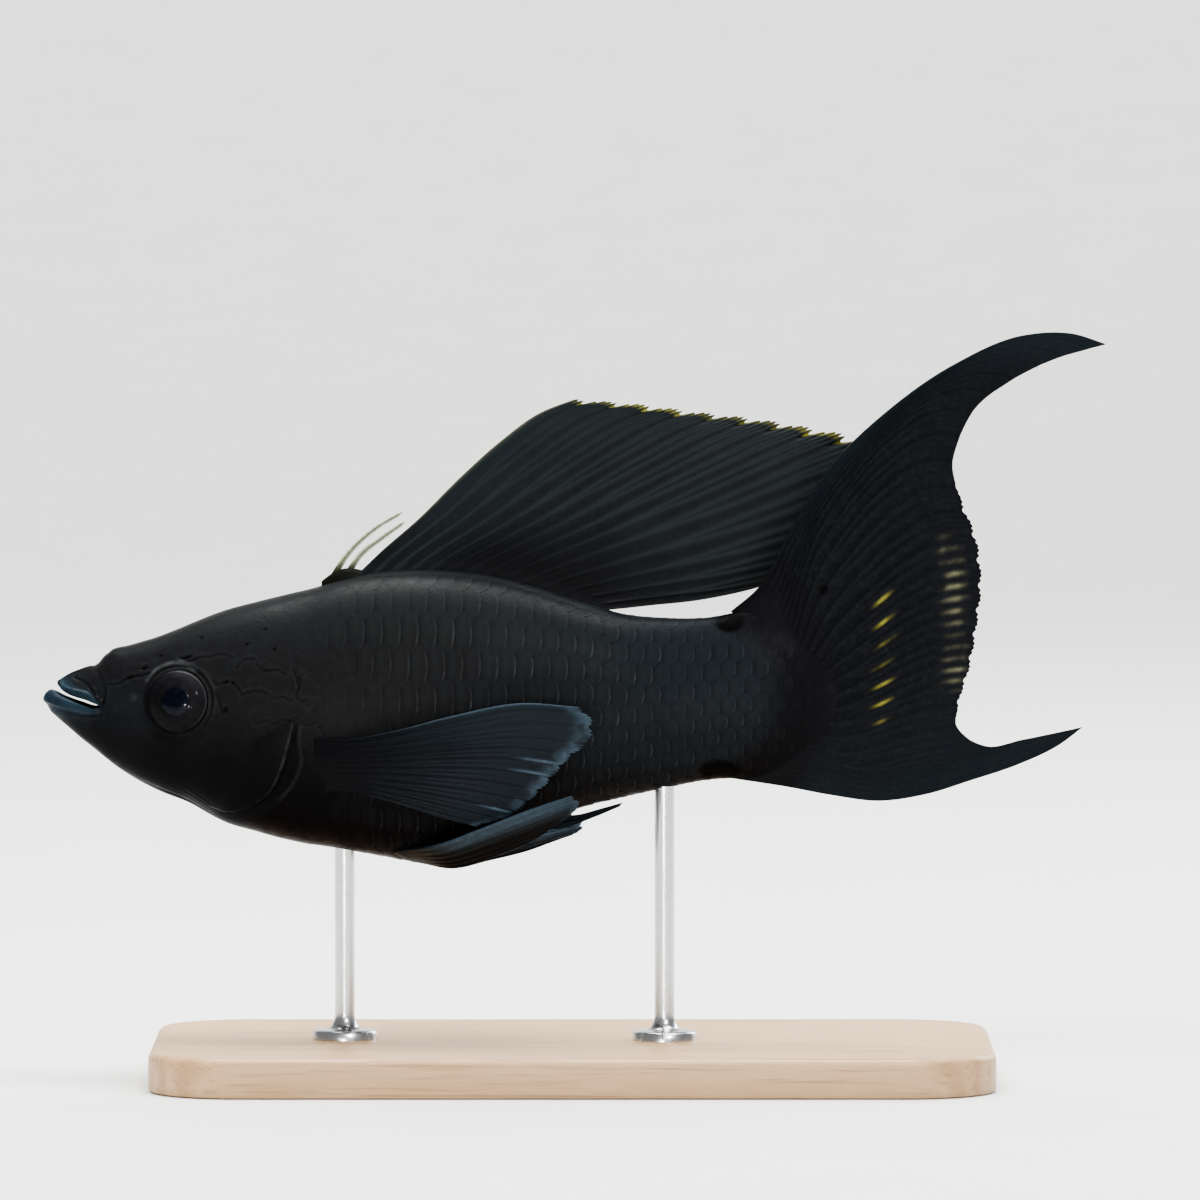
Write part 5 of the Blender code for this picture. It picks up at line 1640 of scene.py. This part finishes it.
def eyeProfile():
    # distance from the axis, then height along it, from the lens to the back of the ball
    radius, depth = eye["radius"], eye["depth"]
    reach = np.concatenate([np.linspace(0, 1.7, 40), np.linspace(1.74, radius, 44)])
    front = -eye["sink"] + depth * np.sqrt(1 - (reach / (radius + 0.12)) ** eye["flatness"])
    front += eye["lensRise"] * np.clip(1 - (reach / eye["lens"]) ** 2, 0, 1) ** 0.7
    front += 0.04 * hump(reach - eye["ringAt"], 0.1) - 0.015 * hump(reach - eye["furrowAt"], 0.14)
    turn = np.linspace(0.25, math.pi / 2, 16)
    back = [radius * np.cos(turn), front[-1] - depth * 0.9 * np.sin(turn)]
    return np.concatenate([stacked(reach, front), stacked(*back)])


def makeEyes():
    material, profile = eyeMaterial(), eyeProfile()
    wall, count = profile[1:-1], eye["segments"]
    rows, turn = len(wall), circle(count)
    for name, side in sides.items():
        seat, axis = eyeFrame(side)
        upward = unit(np.array((0.0, 0.0, 1.0)) - axis * axis[2])
        across = np.cross(upward, axis) * -side  # rearwards
        ring = across * np.cos(turn)[:, None] + upward * np.sin(turn)[:, None]
        points = seat + ring[None] * wall[:, 0, None, None] + axis * wall[:, 1, None, None]
        poles = seat + axis * profile[[0, -1], 1:]
        made = pieceFrom("eye" + name.capitalize(), np.concatenate([points.reshape(-1, 3), poles]),
                         ballFaces(rows, count), material)
        # distance from the axis, and how far a point lies to the rear and up
        rear, high = (np.tile(0.5 + 0.5 * np.cos(turn - lean), rows) for lean in (0.5, 0.9))
        at = stacked(np.repeat(wall[:, 0], count), rear, high)
        ends = [(0, 0.5, 0.5), (eye["radius"], 0.5, 0.5)]
        addMarks(made.data, "ringAt", np.concatenate([at, ends]))
        handIn(made, "eye", "eye_" + name)
    print("eyes set")


# The display stand

stand = {
    "size": (84.0, 46.0, 4.0),
    "corner": 9.0,
    "cornerSteps": 24,
    "edge": 0.8,
    "under": ((0.5, 0.0), (0.12, 0.12), (0.0, 0.45)),  # rings below: inset and height
    "over": (1.6, 3.0, 5.5, 8.9),  # insets of the rings on top
    "rods": {"front": 30.2, "rear": 62.2},
    "rodRadius": 1.0,
    "rodEnd": 0.6,
    # radius and height of the steel foot
    "foot": ((3.2, 0.0), (3.2, 0.75), (3.05, 0.9), (2.2, 0.98), (1.8, 1.05), (1.45, 1.25),
             (1.25, 1.5), (1.08, 1.85), (1.0, 2.3)),
}


def oakMaterial():
    made, shader, wire = newMaterial("oakBase", 0.42, 0.45)
    where = objectCoords(wire, (1.0, 9.0, 9.0))
    warp = noise(wire, where, 14.0, 2.0, 0.5)
    ring = (where.parts()[1] * 340.0 + warp * 9.0).math("SINE")
    pore = noise(wire, objectCoords(wire, (60.0, 2200.0, 2200.0)), 1.0, 3.0, 0.7)
    pore = pore.ramp(0.52, 0.70)
    ray = noise(wire, objectCoords(wire, (160.0, 700.0, 700.0)), 1.0, 2.0).ramp(0.45, 0.7)
    colour = layered(tones["wood"], (ring * 0.35 + 0.4, "woodRing"), (ray * 0.25, "woodRay"),
                     (pore * 0.45, "woodPore"))
    dress(wire, shader, {"Base Color": colour, "Roughness": pore * 0.2 + 0.40,
                         "Normal": bump(wire, pore * -1.0 + ray * 0.2, 0.00008, 0.5)})
    return made


def steelMaterial():
    made, shader, wire = newMaterial("brushedSteel", 0.3)
    brush = noise(wire, objectCoords(wire, (2200.0, 2200.0, 90.0)), 1.0, 3.0, 0.6)
    colour = blend(brush, tones["steel"], tones["steelBright"])
    dress(wire, shader, {"Base Color": colour, "Metallic": 1.0, "Roughness": brush * 0.16 + 0.2,
                         "Normal": bump(wire, brush, 0.00003, 0.4)})
    return made


def makeBase():
    # rings of a rounded rectangle, from under its foot over the edge to its middle
    length, width, height = stand["size"]
    corner, edge, steps = stand["corner"], stand["edge"], stand["cornerSteps"]
    outline = []
    for k, (cx, cy) in enumerate(((1, 1), (-1, 1), (-1, -1), (1, -1))):
        x, y = cx * (length / 2 - corner), cy * (width / 2 - corner)
        for turn in (k + np.arange(steps + 1) / steps) * math.pi / 2:
            outline.append((x, y, math.cos(turn), math.sin(turn)))
    outline = np.array(outline)

    def ring(inset, z):
        at = outline[:, :2] + outline[:, 2:] * (corner - inset)
        return np.column_stack([at, np.full(len(at), z)])

    rings = [ring(*at) for at in stand["under"]]
    for turn in np.linspace(0, math.pi / 2, 9):
        rings.append(ring(edge * (1 - math.cos(turn)), height - edge + edge * math.sin(turn)))
    rings += [ring(inset, height) for inset in stand["over"]]
    made = pieceFrom("standBase", np.concatenate(rings), tubeFaces(len(rings), len(outline)),
                     oakMaterial(), 40)
    handIn(made, "stand_wood", "stand_base")


def makeRods():
    steel, count, steps = steelMaterial(), 64, 30
    ring = stacked(np.cos(circle(count)), np.sin(circle(count)))
    start, footHigh = stand["size"][2], stand["foot"][-1][1]
    for name, s in stand["rods"].items():
        belly = float(bellyUnder(s, 0.0)) + axisZ
        rise = belly - start - 2.0
        profile = [(stand["rodEnd"], start)] + [(r, start + z) for r, z in stand["foot"]]
        profile += [(stand["rodRadius"], start + footHigh + rise * k / steps)
                    for k in range(1, steps + 1)]
        profile.append((stand["rodEnd"], belly + 0.5))
        middle = np.array((lipX + s, float(sway(s))))
        points = [np.column_stack([middle + ring * r, np.full(count, z)]) for r, z in profile]
        made = pieceFrom("standRod" + name.capitalize(), np.concatenate(points),
                         tubeFaces(len(profile), count), steel, 50)
        handIn(made, "stand_steel", "stand_rod_" + name)


# Stage, lights and camera

camera = {
    "target": (2.75, 0.0, 48.0),
    "distance": 1200.0,
    "elevation": 3.0,
    "frameWidth": 120.0,
    "sensor": 36.0,
    "clip": (0.05, 20.0),
}

stage = {
    # metres: the floor's width, its front and rear ends, its bend's radius and its top
    "width": 6.0,
    "front": -2.2,
    "back": 2.4,
    "bend": 1.4,
    "high": 3.0,
    "colours": ((0.66, 0.66, 0.645), (0.70, 0.70, 0.685)),
    "air": (0.86, 0.89, 0.92, 1.0),
    "airStrength": 0.3,
    "look": "AgX - Medium High Contrast",
}

lights = {
    # place in mm, size in mm, power in W, colour, what it points at, whether it is mirrored
    "keyLight": ((-330, -620, 620), (520, 360), 8.5, (1.0, 0.985, 0.96), (0, 0, 45), False),
    "fillLight": ((560, -640, 180), (480, 480), 1.4, (0.93, 0.97, 1.0), (5, 0, 45), False),
    "topLight": ((40, 60, 700), (620, 300), 13.0, (1.0, 1.0, 1.0), (0, 0, 50), True),
    "rimLight": ((420, 520, 330), (200, 420), 3.0, (0.95, 0.98, 1.0), (0, 0, 50), True),
    "wallLight": ((0, 1500, 1500), (3000, 1400), 60.0, (1.0, 1.0, 1.0), (0, 1700, 0), False),
    "glintLow": ((-70, -560, 30), (70, 24), 0.8, (1.0, 1.0, 1.0), (-40, 0, 38), True),
    "glintHigh": ((190, -560, 330), (80, 80), 2.4, (1.0, 1.0, 1.0), (-40, 0, 38), True),
}


def makeStage():
    # a pale floor that sweeps up far behind
    half, front, back, bend = stage["width"] / 2, stage["front"], stage["back"], stage["bend"]
    profile = [(front, 0.0), (back - bend, 0.0)]
    profile += [(back - bend + bend * math.sin(turn), bend - bend * math.cos(turn))
                for turn in np.linspace(0.1, math.pi / 2, 20)]
    profile.append((back, stage["high"]))
    points = [(x, y, z) for y, z in profile for x in (-half, half)]
    faces = [(2 * k, 2 * k + 1, 2 * k + 3, 2 * k + 2) for k in range(len(profile) - 1)]
    mesh = newMesh("paleFloor", points, faces)
    mesh.shade_smooth()
    made, shader, wire = newMaterial("paleFloorPaint", 0.75, 0.3)
    grain = noise(wire, objectCoords(wire), 60.0, 4.0)
    dress(wire, shader, {"Base Color": blend(grain, *stage["colours"])})
    mesh.materials.append(made)
    floor = linked("paleFloor", mesh)


def aimed(name, data, at, aim):
    holder = linked(name, data)
    holder.location = Vector(at) * mm
    holder.rotation_euler = (Vector(aim) - Vector(at)).to_track_quat("-Z", "Y").to_euler()
    return holder


def makeLights():
    for name, (at, size, power, colour, aim, mirrored) in lights.items():
        lamp = bpy.data.lights.new(name, "AREA")
        lamp.shape = "RECTANGLE"
        lamp.size, lamp.size_y = size[0] * mm, size[1] * mm
        lamp.energy, lamp.color = power, colour
        holder = aimed(name, lamp, at, aim)
        holder.visible_glossy = mirrored
        holder.visible_diffuse = not name.startswith("glint")
    world = bpy.data.worlds.new("softRoom")
    world.use_nodes = True
    air = world.node_tree.nodes["Background"]
    dress(Wire(world.node_tree), air, {"Color": stage["air"], "Strength": stage["airStrength"]})
    bpy.context.scene.world = world
    bpy.context.scene.view_settings.look = stage["look"]


def makeCamera():
    lens = bpy.data.cameras.new("camera")
    lens.sensor_width = camera["sensor"]
    lens.lens = camera["sensor"] * camera["distance"] / camera["frameWidth"]
    lens.clip_start, lens.clip_end = camera["clip"]
    tilt = math.radians(camera["elevation"])
    back = Vector((0.0, -math.cos(tilt), math.sin(tilt)))
    at = Vector(camera["target"]) + back * camera["distance"]
    bpy.context.scene.camera = aimed("camera", lens, at, camera["target"])


makeStage()
makeLights()
makeCamera()
print("stage set")
makeSkin()
makeScales()
makeEyes()
makeDorsal()
makeCaudal()
pairedSkin = finMaterial("pairedFinSkin", "paired", 0.4, "tip", "root")
for sideName, sideSign in sides.items():
    makePectoral(sideName, sideSign, pairedSkin)
    makePelvic(sideName, sideSign, pairedSkin)
makeAnal(pairedSkin)
print("fins set")
makeBase()
makeRods()
print("stand set")
